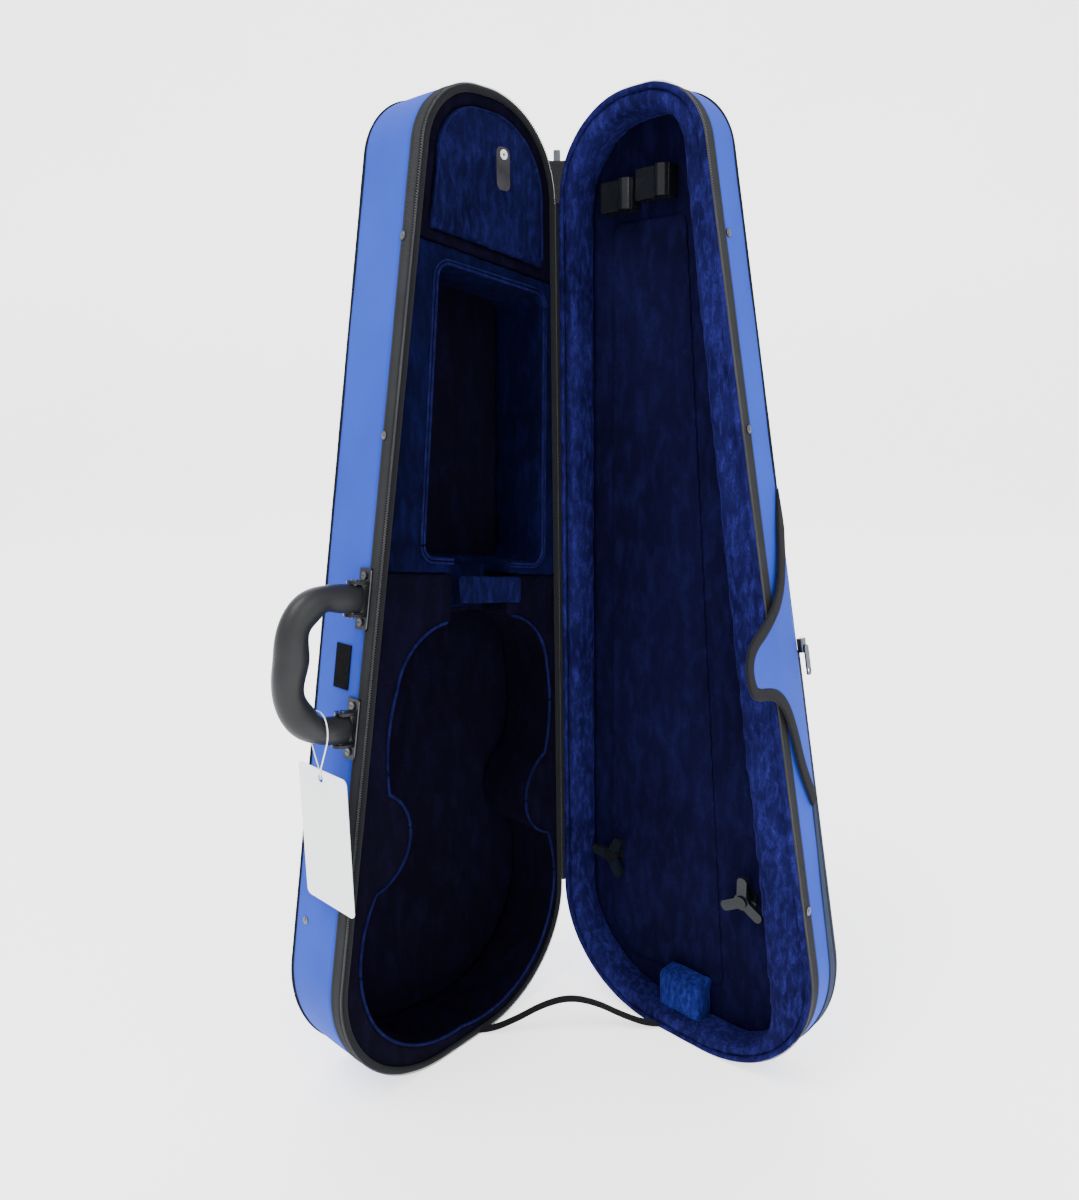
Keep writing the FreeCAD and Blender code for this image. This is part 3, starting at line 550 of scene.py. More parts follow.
NAVY = velvet("navy_velvet", (0.0012, 0.0009, 0.004), (0.004, 0.003, 0.017), 26.0, 0.8, 0.03)
WELL = velvet("well_velvet", (0.0008, 0.001, 0.0085), (0.004, 0.005, 0.05), 30.0, 0.8, 0.06)
COVER = velvet("cover_velvet", (0.0012, 0.0012, 0.012), (0.009, 0.010, 0.078), 50.0, 1.0, 0.08)
CRUSHED = velvet("crushed_velvet", (0.0022, 0.002, 0.020), (0.020, 0.020, 0.155), 56.0, 1.0, 0.12)
BRIGHT = velvet("bright_velvet", (0.003, 0.0045, 0.045), (0.020, 0.034, 0.27), 64.0, 1.0, 0.2)
FLOOR = velvet("lid_velvet", (0.0018, 0.0016, 0.012), (0.006, 0.006, 0.046), 30.0, 0.9, 0.05)
NYLON = nylon()
TAPE = tape()
BINDING = twill("black_binding", (0.003, 0.003, 0.0036), (0.014, 0.0145, 0.017))
GUSSET = twill("slate_tape", (0.016, 0.022, 0.045), (0.035, 0.045, 0.08))
WEB = twill("black_webbing", (0.004, 0.004, 0.005), (0.014, 0.014, 0.016))
HANDLE = moulded("handle_plastic", (0.0075, 0.008, 0.009), 0.42, 0.6)
GLOSS = moulded("gloss_plastic", (0.004, 0.0045, 0.006), 0.2, 0.08)
SMOKE = moulded("smoke_plastic", (0.004, 0.006, 0.009), 0.16, 0.05)
TEETH = moulded("teeth_plastic", (0.045, 0.046, 0.05), 0.4, 0.1)
NICKEL = moulded("nickel_plate", (0.42, 0.43, 0.46), 0.3, 0.05)
DARK_STEEL = metal("dark_steel", (0.10, 0.105, 0.12), 0.3)
PAINTED = moulded("bracket_paint", (0.004, 0.004, 0.005), 0.3, 0.25)
LEATHER = leather()
CARD = card()
FUZZ = hook_and_loop()


def repaint(node, material):
    """Give a CAD piece a material through its slots."""
    for slot in NODES[node].material_slots:
        slot.material = material


# ---------------------------------------------------------------- covers


def cover(half, edge, seam, back, names):
    """The nylon sides of a half with its zipper band, seams, piping and padded back."""
    side, tape_node, teeth_node, piping_node, back_node = names
    wide = back - edge
    puffed = [(0.5 * math.sin(math.pi * t) - 0.1, edge + wide * t) for t in np.linspace(0, 1, 12)]
    profile = puffed + [(-2.4, back), (-2.4, edge)]
    band(f"{side}_cloth", half, profile, NYLON, [side], lumps=0.5)
    folded = [(-0.3, 3.1), (0.0, 3.4), (0.0, 6.0), (0.0, 9.5), (0.1, 11.2), (0.3, 12.2),
              (0.3, 13.2), (0.1, 14.0), (-0.5, 14.1), (-1.6, 14.0), (-1.6, 3.1)]
    band(f"{tape_node}_cloth", half, folded, TAPE, [tape_node], lumps=0.1, lump_size=30)
    stitches(f"{half}_stitches", half, 11.0, 0.1)
    points, normals, _ = outline(CASE, 0, 3.0)
    points = np.vstack([points, points[:1]])
    normals = np.vstack([normals, normals[:1]])
    middle = {"deep": (0.85, 1.75), "lid": (-0.1, 3.3)}[half]
    coil(f"{half}_coil", half, points, normals, middle, TEETH, [teeth_node])
    centre = (seam + back) / 2 + 0.4
    cord_ring = [(1.35 * math.cos(a) - 0.2, centre + 1.35 * math.sin(a))
                 for a in np.linspace(0, 2 * math.pi, 10, endpoint=False)]
    band(f"{half}_piping", half, cord_ring, BINDING, [piping_node], lumps=0.15, lump_size=20)
    back_panel(half, back_node)


def stitches(name, half, depth, out):
    """A row of lockstitches round a half."""
    points, normals, _ = outline(CASE, -out, 1.0)
    verts, faces, uv = [], [], []
    pitch, long = 3.4, 2.3
    closed = np.vstack([points, points[:1]])
    run = running_length(closed)
    normals = np.vstack([normals, normals[:1]])
    for begin in np.arange(0, run[-1] - pitch, pitch):
        base = len(verts)
        for at, lift, half_width in ((0, -0.1, 0.1), (long * 0.3, 0.28, 0.22),
                                     (long * 0.7, 0.28, 0.22), (long, -0.1, 0.1)):
            x, z = (np.interp(begin + at, run, closed[:, k]) for k in (0, 1))
            nx, nz = (np.interp(begin + at, run, normals[:, k]) for k in (0, 1))
            z = max(z + nz * lift, 0.2)
            for side in (-1, 1):
                verts.append((x + nx * lift, depth + side * half_width, z))
        for k in range(3):
            a = base + 2 * k
            faces.append((a, a + 1, a + 3, a + 2))
            uv += [(0, 0), (0, 1), (1, 1), (1, 0)]
    mesh_object(name, place(half, verts), faces, BINDING, BODY[half], uv=uv)


def back_panel(half, node):
    """The padded outer face of a half: rings that crown towards the middle."""
    front = {"deep": 65.5, "lid": 38.5}[half]
    outer = {"deep": 69.2, "lid": 42.0}[half]
    insets = [1.7, 2.0, 3.0, 5.0, 9.0, 16.0, 26.0, 38.0, 50.0]
    rings = []
    rounded = [0.0, 1.2, 2.2, 2.9, 3.2, 3.35, 3.5, 3.6, 3.7]
    share = (outer - front) / 3.7
    for fade, inset, lift in zip(np.linspace(1, 0, len(insets)), insets, rounded):
        points, _, _ = outline(CASE, inset, 8.0)
        depth = front + lift * share
        ring = np.stack([points[:, 0], np.full(len(points), depth), points[:, 1]], 1)
        ring[:, 1] += fade * ripple(ring, 60.0, 0.25)
        rings.append(ring)
    points = np.array(rings)
    n = points.shape[1]
    verts = points.reshape(-1, 3)
    faces, uv = [], []
    for i in range(len(insets) - 1):
        for j in range(n):
            k = (j + 1) % n
            quad = (i * n + j, (i + 1) * n + j, (i + 1) * n + k, i * n + k)
            faces.append(quad)
            uv += [(verts[v][0], verts[v][2]) for v in quad]
    work = bmesh.new()
    made = mesh_object(f"{half}_back", place(half, verts), faces, NYLON, None, uv=uv)
    work.from_mesh(made.data)
    work.verts.ensure_lookup_table()
    layer = work.loops.layers.uv.active
    bmesh.ops.recalc_face_normals(work, faces=work.faces)
    for face in work.faces:
        face.smooth = True
    away = Vector((0, -1, 0) if half == "deep" else (-1, 0, 0))
    for start, side in (((len(insets) - 1) * n, 1), (0, -1)):
        spots = [work.verts[start + j].co.copy() for j in range(n)]
        face = work.faces.new([work.verts.new(spot) for spot in spots])
        work.verts.ensure_lookup_table()
        face.normal_update()
        if face.normal.dot(away) * side < 0:
            face.normal_flip()
        for loop in face.loops:
            spot = loop.vert.co
            loop[layer].uv = ((spot.x if half == "deep" else spot.y) * 1000, spot.z * 1000)
    bmesh.ops.triangulate(work, faces=[f for f in work.faces if len(f.verts) > 4])
    work.to_mesh(made.data)
    work.free()
    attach(made, BODY[half])
    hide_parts(node)


cover("deep", 13.5, 65.5, 68.0, ("body_side_cover", "body_zip_tape", "body_zip_teeth",
                                 "body_back_piping", "body_back_panel"))
cover("lid", 13.5, 38.5, 41.0, ("lid_side_cover", "lid_zip_tape", "lid_zip_teeth",
                                "lid_back_piping", "lid_back_panel"))

# ---------------------------------------------------------------- deep half: linings

band("body_binding", "deep",
     [(-1.5, 1.3), (-2.2, 0.85), (-4.0, 0.7), (-5.8, 0.85), (-6.6, 1.5), (-6.6, 2.6), (-1.5, 2.6)],
     BINDING, ["body_rim_binding"], lumps=0.2, lump_size=25)
lining("nest_lining", "nest_insert", 2.6, NAVY, "deep_half")
lining("scroll_lining", "scroll_insert", 2.6, WELL, "deep_half")
lining("compartment_lining", "compartment_insert", 2.6, NAVY, "deep_half")
lining("floor_lining", "insert_floor", 3.2, NAVY, "deep_half", lumps=0.2)
neck_pad = lining("neck_cradle", "neck_pad", 2.0, WELL, "deep_half", swell=(3.0, 2.0))


def rounded_loop(points, radius, step=2.0):
    """Points along a polygon with round corners."""
    corners = [np.array(p, float) for p in points]
    out = []
    count = len(corners)
    for k in range(count):
        before, corner, after = corners[k - 1], corners[k], corners[(k + 1) % count]
        u = (before - corner) / np.linalg.norm(before - corner)
        v = (after - corner) / np.linalg.norm(after - corner)
        half = math.acos(np.clip(u @ v, -1, 1)) / 2
        start, end = corner + u * radius / math.tan(half), corner + v * radius / math.tan(half)
        centre = corner + (u + v) / np.linalg.norm(u + v) * radius / math.sin(half)
        a, b = start - centre, end - centre
        turn = math.acos(np.clip(a @ b / radius ** 2, -1, 1))
        for t in np.linspace(0, 1, max(3, int(radius * turn / step) + 1)):
            out.append(centre + (a * math.sin((1 - t) * turn) + b * math.sin(t * turn))
                       / math.sin(turn))
    dense = []
    for a, b in zip(out, out[1:] + out[:1]):
        pieces = max(1, int(np.linalg.norm(b - a) / step))
        dense += [a + (b - a) * t for t in np.arange(pieces) / pieces]
    return np.array(dense)


WELL_CORNERS = [(23, 412), (152, 436), (126, 650), (16, 633)]
NECK_FOOT, NECK_LEAN = 133, 0.1


def widened(points, by):
    """Corners moved away from their middle in both directions."""
    middle = np.mean(points, axis=0)
    return [(x + math.copysign(by, x - middle[0]), z + math.copysign(by, z - middle[1]))
            for x, z in points]


def well_edging():
    """Two rows of piping round the scroll well, open where the neck passes."""
    for index, (by, radius) in enumerate(((1.4, 1.1), (4.2, 0.9))):
        loop = rounded_loop(widened(WELL_CORNERS, by), 10 + by)
        across = (loop[:, 0] - NECK_FOOT + NECK_LEAN * loop[:, 1]) / math.hypot(1, NECK_LEAN)
        neck = (np.abs(across) < 31) & (loop[:, 1] < 470)
        first = int(np.argmax(np.roll(neck, 1) & ~neck))
        loop = np.roll(loop, -first, axis=0)
        keep = int(np.argmax(np.roll(neck, -first)))
        line = loop[:keep]
        depth = np.full(len(line), 2.4)
        route = np.stack([line[:, 0], depth, line[:, 1]], 1)
        tube(f"well_edging_{index}", place("deep", route), radius / 1000, EDGE,
                         "deep_half")
    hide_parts("well_piping")


NEST_ARCS = [(0, 18), (58, 26), (97, 62), (111, 115), (98, 170), (66, 212), (88, 248), (91, 290),
             (84, 330), (68, 362), (36, 378)]


def nest_edging():
    """The rolled edge of the violin's nest: arcs on each side, open at the neck."""
    half = []
    for k in range(0, len(NEST_ARCS) - 1, 2):
        half += arc_points(*[np.array(p, float) for p in NEST_ARCS[k:k + 3]])
    line = np.array([(-a, b) for a, b in reversed(half)] + half[1:])
    lean = math.hypot(1, NECK_LEAN)
    x = NECK_FOOT + (line[:, 0] - NECK_LEAN * line[:, 1]) / lean
    z = (line[:, 1] + NECK_LEAN * line[:, 0]) / lean
    route = np.stack([x, np.full(len(line), 3.1), z], 1)
    tube("nest_edging", place("deep", route), 0.0012, EDGE, "deep_half")


def arc_points(start, middle, end, step=3.0):
    """Points along the circle through three points, in order."""
    (ax, ay), (bx, by), (cx, cy) = start, middle, end
    d = 2 * (ax * (by - cy) + bx * (cy - ay) + cx * (ay - by))
    a2, b2, c2 = ax**2 + ay**2, bx**2 + by**2, cx**2 + cy**2
    ux = (a2 * (by - cy) + b2 * (cy - ay) + c2 * (ay - by)) / d
    uy = (a2 * (cx - bx) + b2 * (ax - cx) + c2 * (bx - ax)) / d
    centre = np.array([ux, uy])
    radius = np.linalg.norm(start - centre)
    angles = [math.atan2(*(p - centre)[::-1]) for p in (start, middle, end)]
    first = (angles[1] - angles[0] + math.pi) % (2 * math.pi) - math.pi
    second = (angles[2] - angles[1] + math.pi) % (2 * math.pi) - math.pi
    turn = first + second
    count = max(4, int(abs(turn) * radius / step))
    return [tuple(centre + radius * np.array([math.cos(a), math.sin(a)]))
            for a in angles[0] + turn * np.linspace(0, 1, count)]


EDGE = velvet("velvet_edging", (0.0022, 0.0024, 0.02), (0.011, 0.012, 0.085), 60.0, 1.0, 0.2)
well_edging()
nest_edging()

lid_pad = lining("compartment_cover", "compartment_lid", 2.0, COVER, "compartment_lid",
                 rounds=4, lumps=0.5, swell=(3.0, 1.2))


def compartment_edging():
    """The brighter rolled edge of the compartment's lid."""
    points, _, _ = outline(CASE, 17.3, 2.0)
    top = points[points[:, 1] > 652 + 3 + 0.16 * points[:, 0]]
    start = int(np.argmax(np.linalg.norm(np.diff(top, axis=0), axis=1))) + 1
    top = np.roll(top, -start, axis=0)
    line_end, line_start = top[-1], top[0]
    across = [line_end + (line_start - line_end) * t for t in np.linspace(0.04, 0.96, 45)]
    loop = np.vstack([top[1:-1], across])
    for _ in range(2):
        loop = (np.roll(loop, 1, 0) + 2 * loop + np.roll(loop, -1, 0)) / 4
    route = np.stack([loop[:, 0], np.full(len(loop), 1.7), loop[:, 1]], 1)
    tube("compartment_edging", place("deep", route), 0.0012, EDGE, "compartment_lid", closed=True)


compartment_edging()
repaint("tab_eyelet", NICKEL)


def pull_tab():
    """The leather tab: a strip with softened edges."""
    made = copy_of("pull_tab", "compartment_tab")
    soft = made.modifiers.new("soft", "BEVEL")
    soft.width = 0.0004
    soft.segments = 3
    soft.limit_method = "ANGLE"
    evaluated(made)
    made.data.materials.clear()
    made.data.materials.append(LEATHER)
    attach(made, "tab")
    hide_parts("compartment_tab")


pull_tab()
strap = lining("neck_band", "neck_strap", 1.1, COVER, "neck_strap", rounds=3, lumps=0.3)

# ---------------------------------------------------------------- lid linings

rim = lining("rim_pad", "lid_rim_pad", 3.6, CRUSHED, "lid", rounds=8, lumps=0.9,
             swell=(2.5, 1.2))
band("rim_roll", "lid", [(-0.5, 3.0), (-0.15, 2.2), (-0.5, 1.2), (-1.6, 0.5), (-3.2, 0.3),
                         (-4.6, 0.9), (-4.6, 3.0)], CRUSHED, [], lumps=0.3, lump_size=12)
lining("lid_floor_lining", "lid_floor", 4.0, FLOOR, "lid", lumps=0.2)
lining("lid_stiffener", "lid_panel", 1.6, FLOOR, "lid", rounds=3, lumps=0.25)
block = lining("velvet_block", "plush_block", 2.2, BRIGHT, "lid", rounds=6, lumps=0.8,
               swell=(5.0, 2.5))
for side in ("left", "right"):
    repaint(f"bow_holder_{side}", GLOSS)
    repaint(f"turn_button_{side}", SMOKE)
    repaint(f"turn_post_{side}", GLOSS)

# ---------------------------------------------------------------- flap and pocket

FLAP_HEIGHT = 358.0
FLAP_EDGE = [(39, 126), (31, 98), (26, 74), (16, 50), (-8, 31), (-32, 20), (-41, 6), (-41, -9),
             (-35, -22), (-10, -26), (1, -34), (7, -46), (12, -62), (17, -88), (32, -121)]
FLAP_SEAM = 38.3
TRIM_WIDTH, TRIM_THICK = 9.5, 2.6
POCKET_TOP, POCKET_SLOPE = 327, 0.16


def rounded_off(points, rounds=3):
    """An open line with its corners cut again and again until it is a smooth curve."""
    line = np.array(points, float)
    for _ in range(rounds):
        a, b = line[:-1], line[1:]
        inner = np.stack([0.75 * a + 0.25 * b, 0.25 * a + 0.75 * b], 1).reshape(-1, 2)
        line = np.vstack([line[:1], inner, line[-1:]])
    return line


def flap_lift(depth, up):
    """How far the flap stands off the wall, from its seam to its free edge."""
    share = np.clip((FLAP_SEAM - depth) / 32.0, 0, 1)
    return 1.5 + 3.7 * share ** 0.8 + 0.4 * math.sin(up / 30.0) * share


def rain_flap():
    """The cloth flap over the zipper, sewn in at the lid's back seam, with a wide bound edge."""
    edge = rounded_off(FLAP_EDGE)
    columns, thick = 20, 1.3
    sheet = np.zeros((len(edge), 2 * columns, 3))
    uv = np.zeros((len(edge) + 1, 2 * columns + 1, 2))
    for i, (free, up) in enumerate(edge):
        for j in range(columns):
            depth = FLAP_SEAM + (free + 1 - FLAP_SEAM) * j / (columns - 1)
            lift = flap_lift(depth, up)
            sheet[i, j] = wall(lift + thick / 2, depth, up, FLAP_HEIGHT)
            sheet[i, 2 * columns - 1 - j] = wall(lift - thick / 2, depth, up, FLAP_HEIGHT)
            uv[i, j] = uv[i, 2 * columns - 1 - j] = (up, depth)
    uv[-1] = uv[-2] + (2, 0)
    uv[:, -1] = uv[:, 0]
    world = place("lid", sheet.reshape(-1, 3)).reshape(sheet.shape)
    cloth = grid("flap_cloth", world, uv, False, True, NYLON, "lid", caps=True)
    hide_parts("rain_flap")
    trim = flap_trim(edge)


def flap_trim(edge):
    """Twill tape folded over the flap's free edge."""
    ahead = np.gradient(edge, axis=0)
    ahead /= np.linalg.norm(ahead, axis=1)[:, None]
    inward = np.stack([-ahead[:, 1], ahead[:, 0]], 1)
    section = []
    for a in np.linspace(0, 2 * math.pi, 14, endpoint=False):
        u = TRIM_WIDTH / 2 * math.copysign(abs(math.cos(a)) ** 0.35, math.cos(a))
        v = TRIM_THICK / 2 * math.copysign(abs(math.sin(a)) ** 0.6, math.sin(a))
        section.append((u + TRIM_WIDTH / 2 - 0.5, v))
    points = np.zeros((len(edge), len(section), 3))
    uv = np.zeros((len(edge) + 1, len(section) + 1, 2))
    run = running_length(edge)
    for i, (free, up) in enumerate(edge):
        for j, (u, v) in enumerate(section):
            depth = min(free + inward[i, 0] * u, FLAP_SEAM + 0.8)
            high = up + inward[i, 1] * u
            points[i, j] = wall(flap_lift(free, up) + v, depth, high, FLAP_HEIGHT)
            uv[i, j] = (run[i], u * 1.3)
    uv[:, -1] = uv[:, 0]
    uv[-1] = uv[-2] + (2, 0)
    world = place("lid", points.reshape(-1, 3)).reshape(points.shape)
    trim = grid("flap_trim", world, uv, False, True, BINDING, "lid", caps=True)
    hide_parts("flap_binding")
    return trim


def pocket():
    """The outer pocket: a padded cloth panel, its zipper band and a bound top edge."""
    panel = lining("pocket_cloth", "pocket_panel", 2.4, NYLON, "lid", rounds=5, lumps=0.3)
    panel.data.uv_layers.new(name="weave")
    flat = np.zeros(len(panel.data.loops) * 2)
    corner = np.zeros(len(panel.data.loops), int)
    panel.data.loops.foreach_get("vertex_index", corner)
    co = coordinates(panel.data)[corner] * 1000
    flat[0::2] = co[:, 1]
    flat[1::2] = co[:, 2]
    panel.data.uv_layers[0].data.foreach_set("uv", flat)
    points, normals, _ = outline(CASE, 0, 3.0)
    side = (points[:, 0] > 62) & (points[:, 1] < POCKET_TOP + POCKET_SLOPE * points[:, 0])
    first = int(np.argmax(side & ~np.roll(side, 1)))
    points, normals = np.roll(points, -first, 0), np.roll(normals, -first, 0)
    side = np.roll(side, -first)
    stop = int(np.argmin(side)) if not side.all() else len(side)
    points, normals = points[:stop], normals[:stop]
    profile = np.array([(-0.3, 42.3), (-0.1, 43.2), (-0.4, 44.4), (-0.1, 45.6), (-0.6, 46.6),
                        (-2.4, 46.9), (-4.2, 46.6), (-4.2, 42.3)])
    out = np.zeros((len(points), len(profile), 3))
    for j, (outs, depth) in enumerate(profile):
        ring = points + normals * outs
        out[:, j] = np.stack([ring[:, 0], np.full(len(ring), depth),
                              np.maximum(ring[:, 1], 0.2)], 1)
    run = running_length(points)
    uv = uv_table(np.append(run, run[-1] + 3), np.linspace(0, 12, len(profile) + 1))
    world = place("lid", out.reshape(-1, 3)).reshape(out.shape)
    tape_piece = grid("pocket_tape", world, uv, False, True, TAPE, "lid", caps=True)
    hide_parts("pocket_zipper")
    coil("pocket_coil", "lid", points, normals, (0.4, 44.4), TEETH, None, radius=0.6, wire=0.3)
    gusset(points, normals)
    top = [(x, 46.6, POCKET_TOP - 0.5 + POCKET_SLOPE * x) for x in np.linspace(6, 204, 80)]
    tube("pocket_top_binding", place("lid", top), 0.0024, BINDING, "lid", around=10, flat=0.45,
         side=(0, 0, 1))


def gusset(points, normals):
    """The pocket's grey side tape, wider towards the floor, with two corded edges."""
    high = points[:, 1]
    front = 29.5 + 9.5 * np.clip((high - 60) / 290, 0, 1)
    back = 42.2
    shares = np.array([0, 0.04, 0.1, 0.15, 0.3, 0.5, 0.7, 0.85, 0.9, 0.96, 1.0])
    lifts = np.array([0.4, 1.5, 1.5, 0.8, 1.0, 1.15, 1.0, 0.8, 1.5, 1.5, 0.4])
    out = np.zeros((len(points), len(shares) + 1, 3))
    for j, (share, lift) in enumerate(zip(shares, lifts)):
        ring = points + normals * lift
        depth = front + (back - front) * share
        out[:, j] = np.stack([ring[:, 0], depth, np.maximum(ring[:, 1], 0.2)], 1)
    inner = points - normals * 0.6
    out[:, -1] = np.stack([inner[:, 0], (front + back) / 2, np.maximum(inner[:, 1], 0.3)], 1)
    run = running_length(points)
    uv = uv_table(np.append(run, run[-1] + 3), np.linspace(0, 12, len(shares) + 2))
    world = place("lid", out.reshape(-1, 3)).reshape(out.shape)
    grid("pocket_gusset", world, uv, False, True, GUSSET, "lid", caps=True)


rain_flap()
pocket()

# ---------------------------------------------------------------- metal and handle side

repaint("handle", HANDLE)
repaint("bracket_upper", PAINTED)
repaint("bracket_lower", PAINTED)
repaint("velcro_patch", FUZZ)
for node_name in ("handle_pins", "bracket_screws", "body_rivets", "lid_rivets", "zipper_slider",
                  "pocket_slider", "pocket_pull"):
    repaint(node_name, DARK_STEEL)


def bracket_strips():
    """A thin strip of dark steel along the front edge of each bracket."""
    for index, up in enumerate((49, -49)):
        line = [wall(1.2, 10.2, up + t, 360.0) for t in np.linspace(-22, 22, 12)]
        tube(f"bracket_edge_{index}", place("deep", line), 0.0009, DARK_STEEL, "deep_half", around=8,
             flat=0.5, side=(1, 0, 0))


bracket_strips()


def hinge_cloth():
    """The cloth hinge: one tape from the side of the deep half, through the corner, to the lid."""
    rows = np.linspace(104, 707, 100)
    arm = [15.4, 14.5, 11.5, 8.5, 6.0, 3.5]
    section = [(-0.05 - 0.85 * (k > 0) - 0.12 * (k % 2), -d) for k, d in enumerate(arm)]
    section += [(-0.7, -1.9), (-0.95, -0.95)]
    section += [(y, x) for x, y in reversed(section[:-1])]
    outer = np.array(section)
    inner = outer + 0.5
    profile = np.vstack([outer, inner[::-1]])
    out = np.zeros((len(rows), len(profile), 3))
    for i, z in enumerate(rows):
        for j, (x, y) in enumerate(profile):
            out[i, j] = (x + 0.08 * math.sin(z / 9.0), -(y + 0.08 * math.sin(z / 9.0)), z)
    uv = uv_table(np.append(rows, rows[-1] + 6), np.linspace(0, 60, len(profile) + 1))
    world = place("deep", out.reshape(-1, 3)).reshape(out.shape)
    piece = grid("hinge_cloth", world, uv, False, True, BINDING, None, caps=True)
    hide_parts("hinge_tape_body", "hinge_tape_lid")
    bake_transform(piece)


def zipper_tongue():
    """The closed end of the zipper's tape, stretched between the two tips above the hinge."""
    rows = np.linspace(706, 737, 16)
    cols = np.linspace(-1, 1, 9)
    tip = CASE["radii"][3]
    out = np.zeros((len(rows), 2 * len(cols), 3))
    for i, z in enumerate(rows):
        gap = tip - math.sqrt(tip ** 2 - (z - 706) ** 2) + 2.6
        for j, c in enumerate(cols):
            x, y = gap * (1 + c) / 2, gap * (1 - c) / 2
            sag = 0.5 * (1 - c * c)
            out[i, j] = (x + 0.3 - sag, -(y + 0.3 - sag), z)
            out[i, 2 * len(cols) - 1 - j] = (x - 0.3 - sag, -(y - 0.3 - sag), z)
    uv = uv_table(np.append(rows, rows[-1] + 2), np.linspace(0, 12, 2 * len(cols) + 1))
    world = place("deep", out.reshape(-1, 3)).reshape(out.shape)
    tongue = grid("zipper_tongue", world, uv, False, True, TAPE, None, caps=True)
    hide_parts("zipper_web")
    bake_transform(tongue)


def smooth_line(knots, pieces):
    """Points in metres along a curve guided by knots (x, height off the mouth, z) in mm."""
    curve = bpy.data.curves.new("guide", "CURVE")
    curve.dimensions = "3D"
    curve.resolution_u = pieces
    spline = curve.splines.new("NURBS")
    spline.points.add(len(knots) - 1)
    for point, (x, y, z) in zip(spline.points, knots):
        point.co = (*place("deep", [(x, -y, z)])[0], 1)
    spline.order_u = 3
    spline.use_endpoint_u = True
    holder = bpy.data.objects.new("guide", curve)
    line_mesh = bpy.data.meshes.new_from_object(holder)
    line = np.array([v.co for v in line_mesh.vertices])
    bpy.data.objects.remove(holder)
    return line


def stay_strap():
    """The slack strap between the wide ends, as flat webbing."""
    half = [(112, -5, 2.5), (105, 4, 3), (88, 21, 13), (72, 38, 27)]
    knots = half + [(55, 55, 33.5)] + [(y, x, z) for x, y, z in reversed(half)]
    line = smooth_line(knots, 12)
    side = Vector((1, 1, 0)).normalized()
    webbing = tube("strap_web", line, 0.0045, WEB, None, around=16, flat=0.3, side=tuple(side))
    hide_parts("stay_strap")
    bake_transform(webbing)


hinge_cloth()
zipper_tongue()
stay_strap()

# ---------------------------------------------------------------- tag

THREAD = [(250.0, -12.9, 283.6), (248.3, -14.5, 286.5), (246.3, -25, 302), (245.6, -30.6, 317),
          (245.5, -25.5, 333), (245.5, -8.8, 333.5), (246.2, -3.4, 318), (249.6, -6.5, 302),
          (251.9, -10.5, 288), (250.0, -11.2, 283.8)]


def swing_tag():
    """A blank card on a loop of white thread over the handle's lower arm."""
    line = smooth_line(THREAD, 16)
    thread = tube("thread", line, 0.0005, THREAD_WHITE, None, around=8, side=(1, 0, 0))
    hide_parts("tag_thread")
    repaint("hang_tag", CARD)
    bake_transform(thread)


def cotton():
    """White twisted thread."""
    p = Paint("cotton_thread", (0.72, 0.72, 0.7), 0.8, Sheen_Weight=0.3)
    twist = p.noise(3000.0, 2.0)
    p.colour(p.mix(p.spread(twist, 0.3, 0.7), (0.6, 0.6, 0.58), (0.82, 0.82, 0.8)))
    p.normal(p.bump(twist, 0.5, 0.0001))
    return p.mat


THREAD_WHITE = cotton()
swing_tag()

# ---------------------------------------------------------------- studio


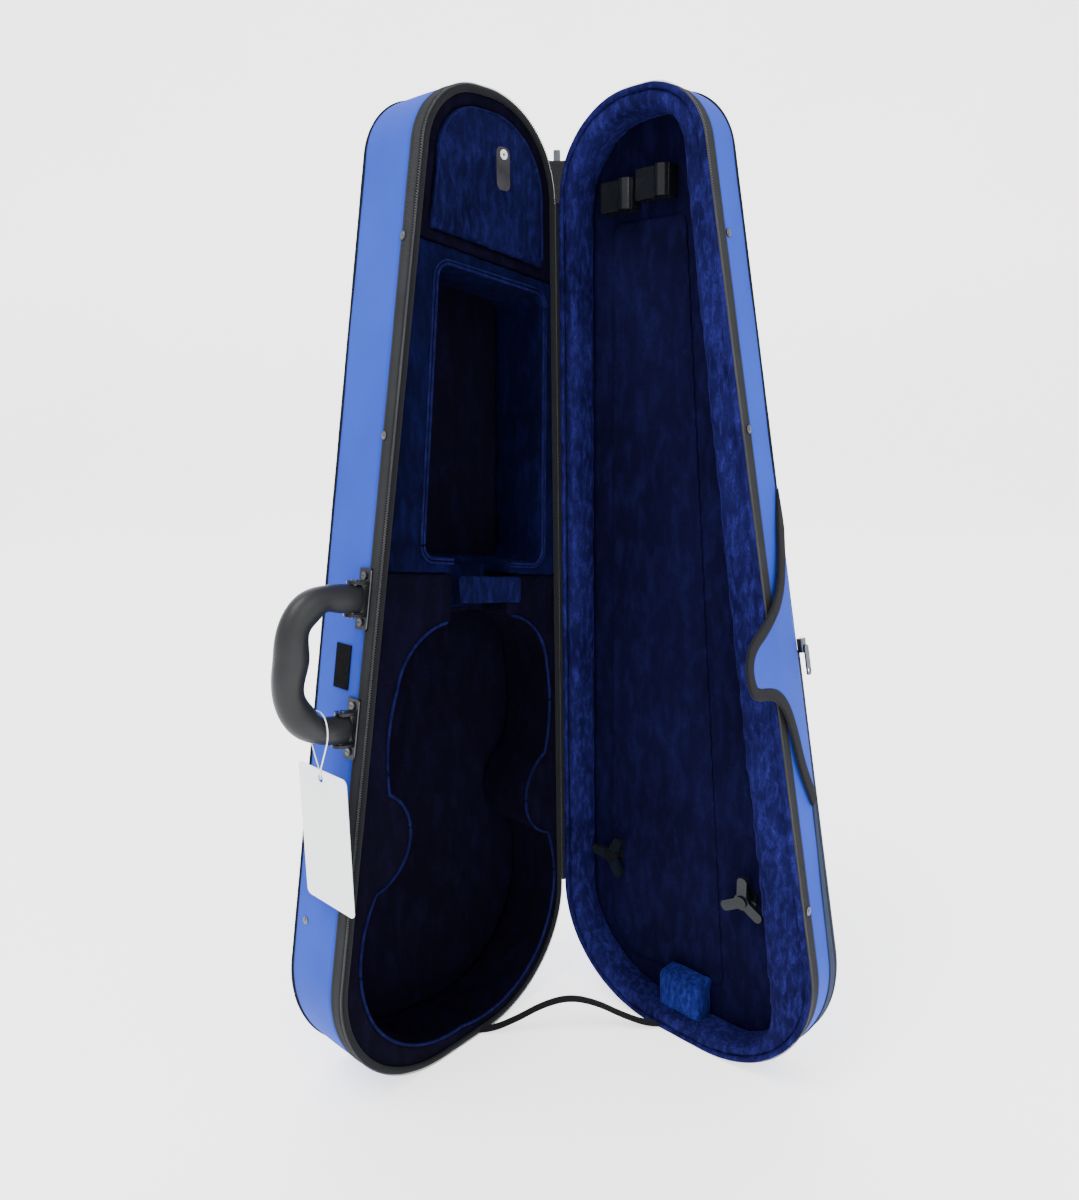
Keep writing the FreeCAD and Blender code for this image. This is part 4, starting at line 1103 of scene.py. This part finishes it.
def studio():
    """A pale paper sweep behind the case, soft sky light and two area lights."""
    floor = bpy.data.meshes.new("studio_floor")
    rows, radius, far = [], 1.2, 2.6
    for t in np.linspace(0, 1, 14):
        a = t * math.pi / 2
        rows.append((far + radius * math.sin(a), radius * (1 - math.cos(a))))
    line = [(-4.0, 0.0), (0.0, 0.0), (far, 0.0)] + rows[1:] + [(far + radius, 6.0)]
    away = Vector((-0.71, -0.67, 0)).normalized()
    across = Vector((-0.67, 0.71, 0)).normalized()
    verts, faces = [], []
    for along, up in line:
        for side in (-6.0, 6.0):
            spot = away * along + across * side
            verts.append((spot.x, spot.y, up))
    for i in range(len(line) - 1):
        faces.append((2 * i, 2 * i + 1, 2 * i + 3, 2 * i + 2))
    floor.from_pydata(verts, [], faces)
    floor.shade_smooth()
    board = bpy.data.objects.new("studio_floor", floor)
    bpy.context.scene.collection.objects.link(board)
    p = Paint("studio_paper", (0.86, 0.86, 0.86), 0.9)
    p.colour(p.mix(p.spread(p.noise(2.0), 0.3, 0.7), (0.85, 0.85, 0.85), (0.88, 0.88, 0.88)))
    p.set("Emission Color", (1, 1, 1, 1))
    p.set("Emission Strength", 1.5)
    floor.materials.append(p.mat)

    world = bpy.data.worlds.new("studio")
    bpy.context.scene.world = world
    world.use_nodes = True
    sky = world.node_tree.nodes["Background"]
    sky.inputs["Color"].default_value = (0.95, 0.97, 1.0, 1)
    sky.inputs["Strength"].default_value = 1.6
    area_light("key", (1.3, -0.1, 2.9), 85.0, 1.4)
    area_light("fill", (0.2, 2.3, 1.7), 40.0, 2.0)


def area_light(name, spot, power, size):
    """A square light in the air that looks at the middle of the case."""
    lamp = bpy.data.lights.new(name, "AREA")
    lamp.energy = power
    lamp.size = size
    holder = bpy.data.objects.new(name, lamp)
    bpy.context.scene.collection.objects.link(holder)
    holder.location = spot
    aim = Vector((0.0, 0.05, 0.4)) - Vector(spot)
    holder.rotation_euler = aim.to_track_quat("-Z", "Y").to_euler()


def camera():
    """Eye level a little above the middle of the case, looking slightly down between the halves."""
    eye = Vector((0.471023, 0.5745, 0.5523))
    yaw, pitch, roll, turn = 0.006, -0.2143, -0.0151, math.radians(46.35)
    to_half = Matrix(((-math.cos(turn), -math.sin(turn), 0), (math.sin(turn), -math.cos(turn), 0),
                      (0, 0, 1)))
    ahead = to_half @ Vector((math.sin(yaw) * math.cos(pitch), math.cos(yaw) * math.cos(pitch),
                              math.sin(pitch)))
    right = to_half @ Vector((math.cos(yaw), -math.sin(yaw), 0))
    up = right.cross(ahead)
    x_axis = right * math.cos(roll) + up * math.sin(roll)
    y_axis = up * math.cos(roll) - right * math.sin(roll)
    data = bpy.data.cameras.new("camera")
    data.sensor_width = 36.0
    data.lens = 27.905
    data.clip_start = 0.02
    holder = bpy.data.objects.new("camera", data)
    bpy.context.scene.collection.objects.link(holder)
    frame_axes = Matrix((x_axis, y_axis, -ahead)).transposed().to_4x4()
    holder.matrix_world = Matrix.Translation(eye) @ frame_axes
    bpy.context.scene.camera = holder


studio()
camera()
write_sizes()
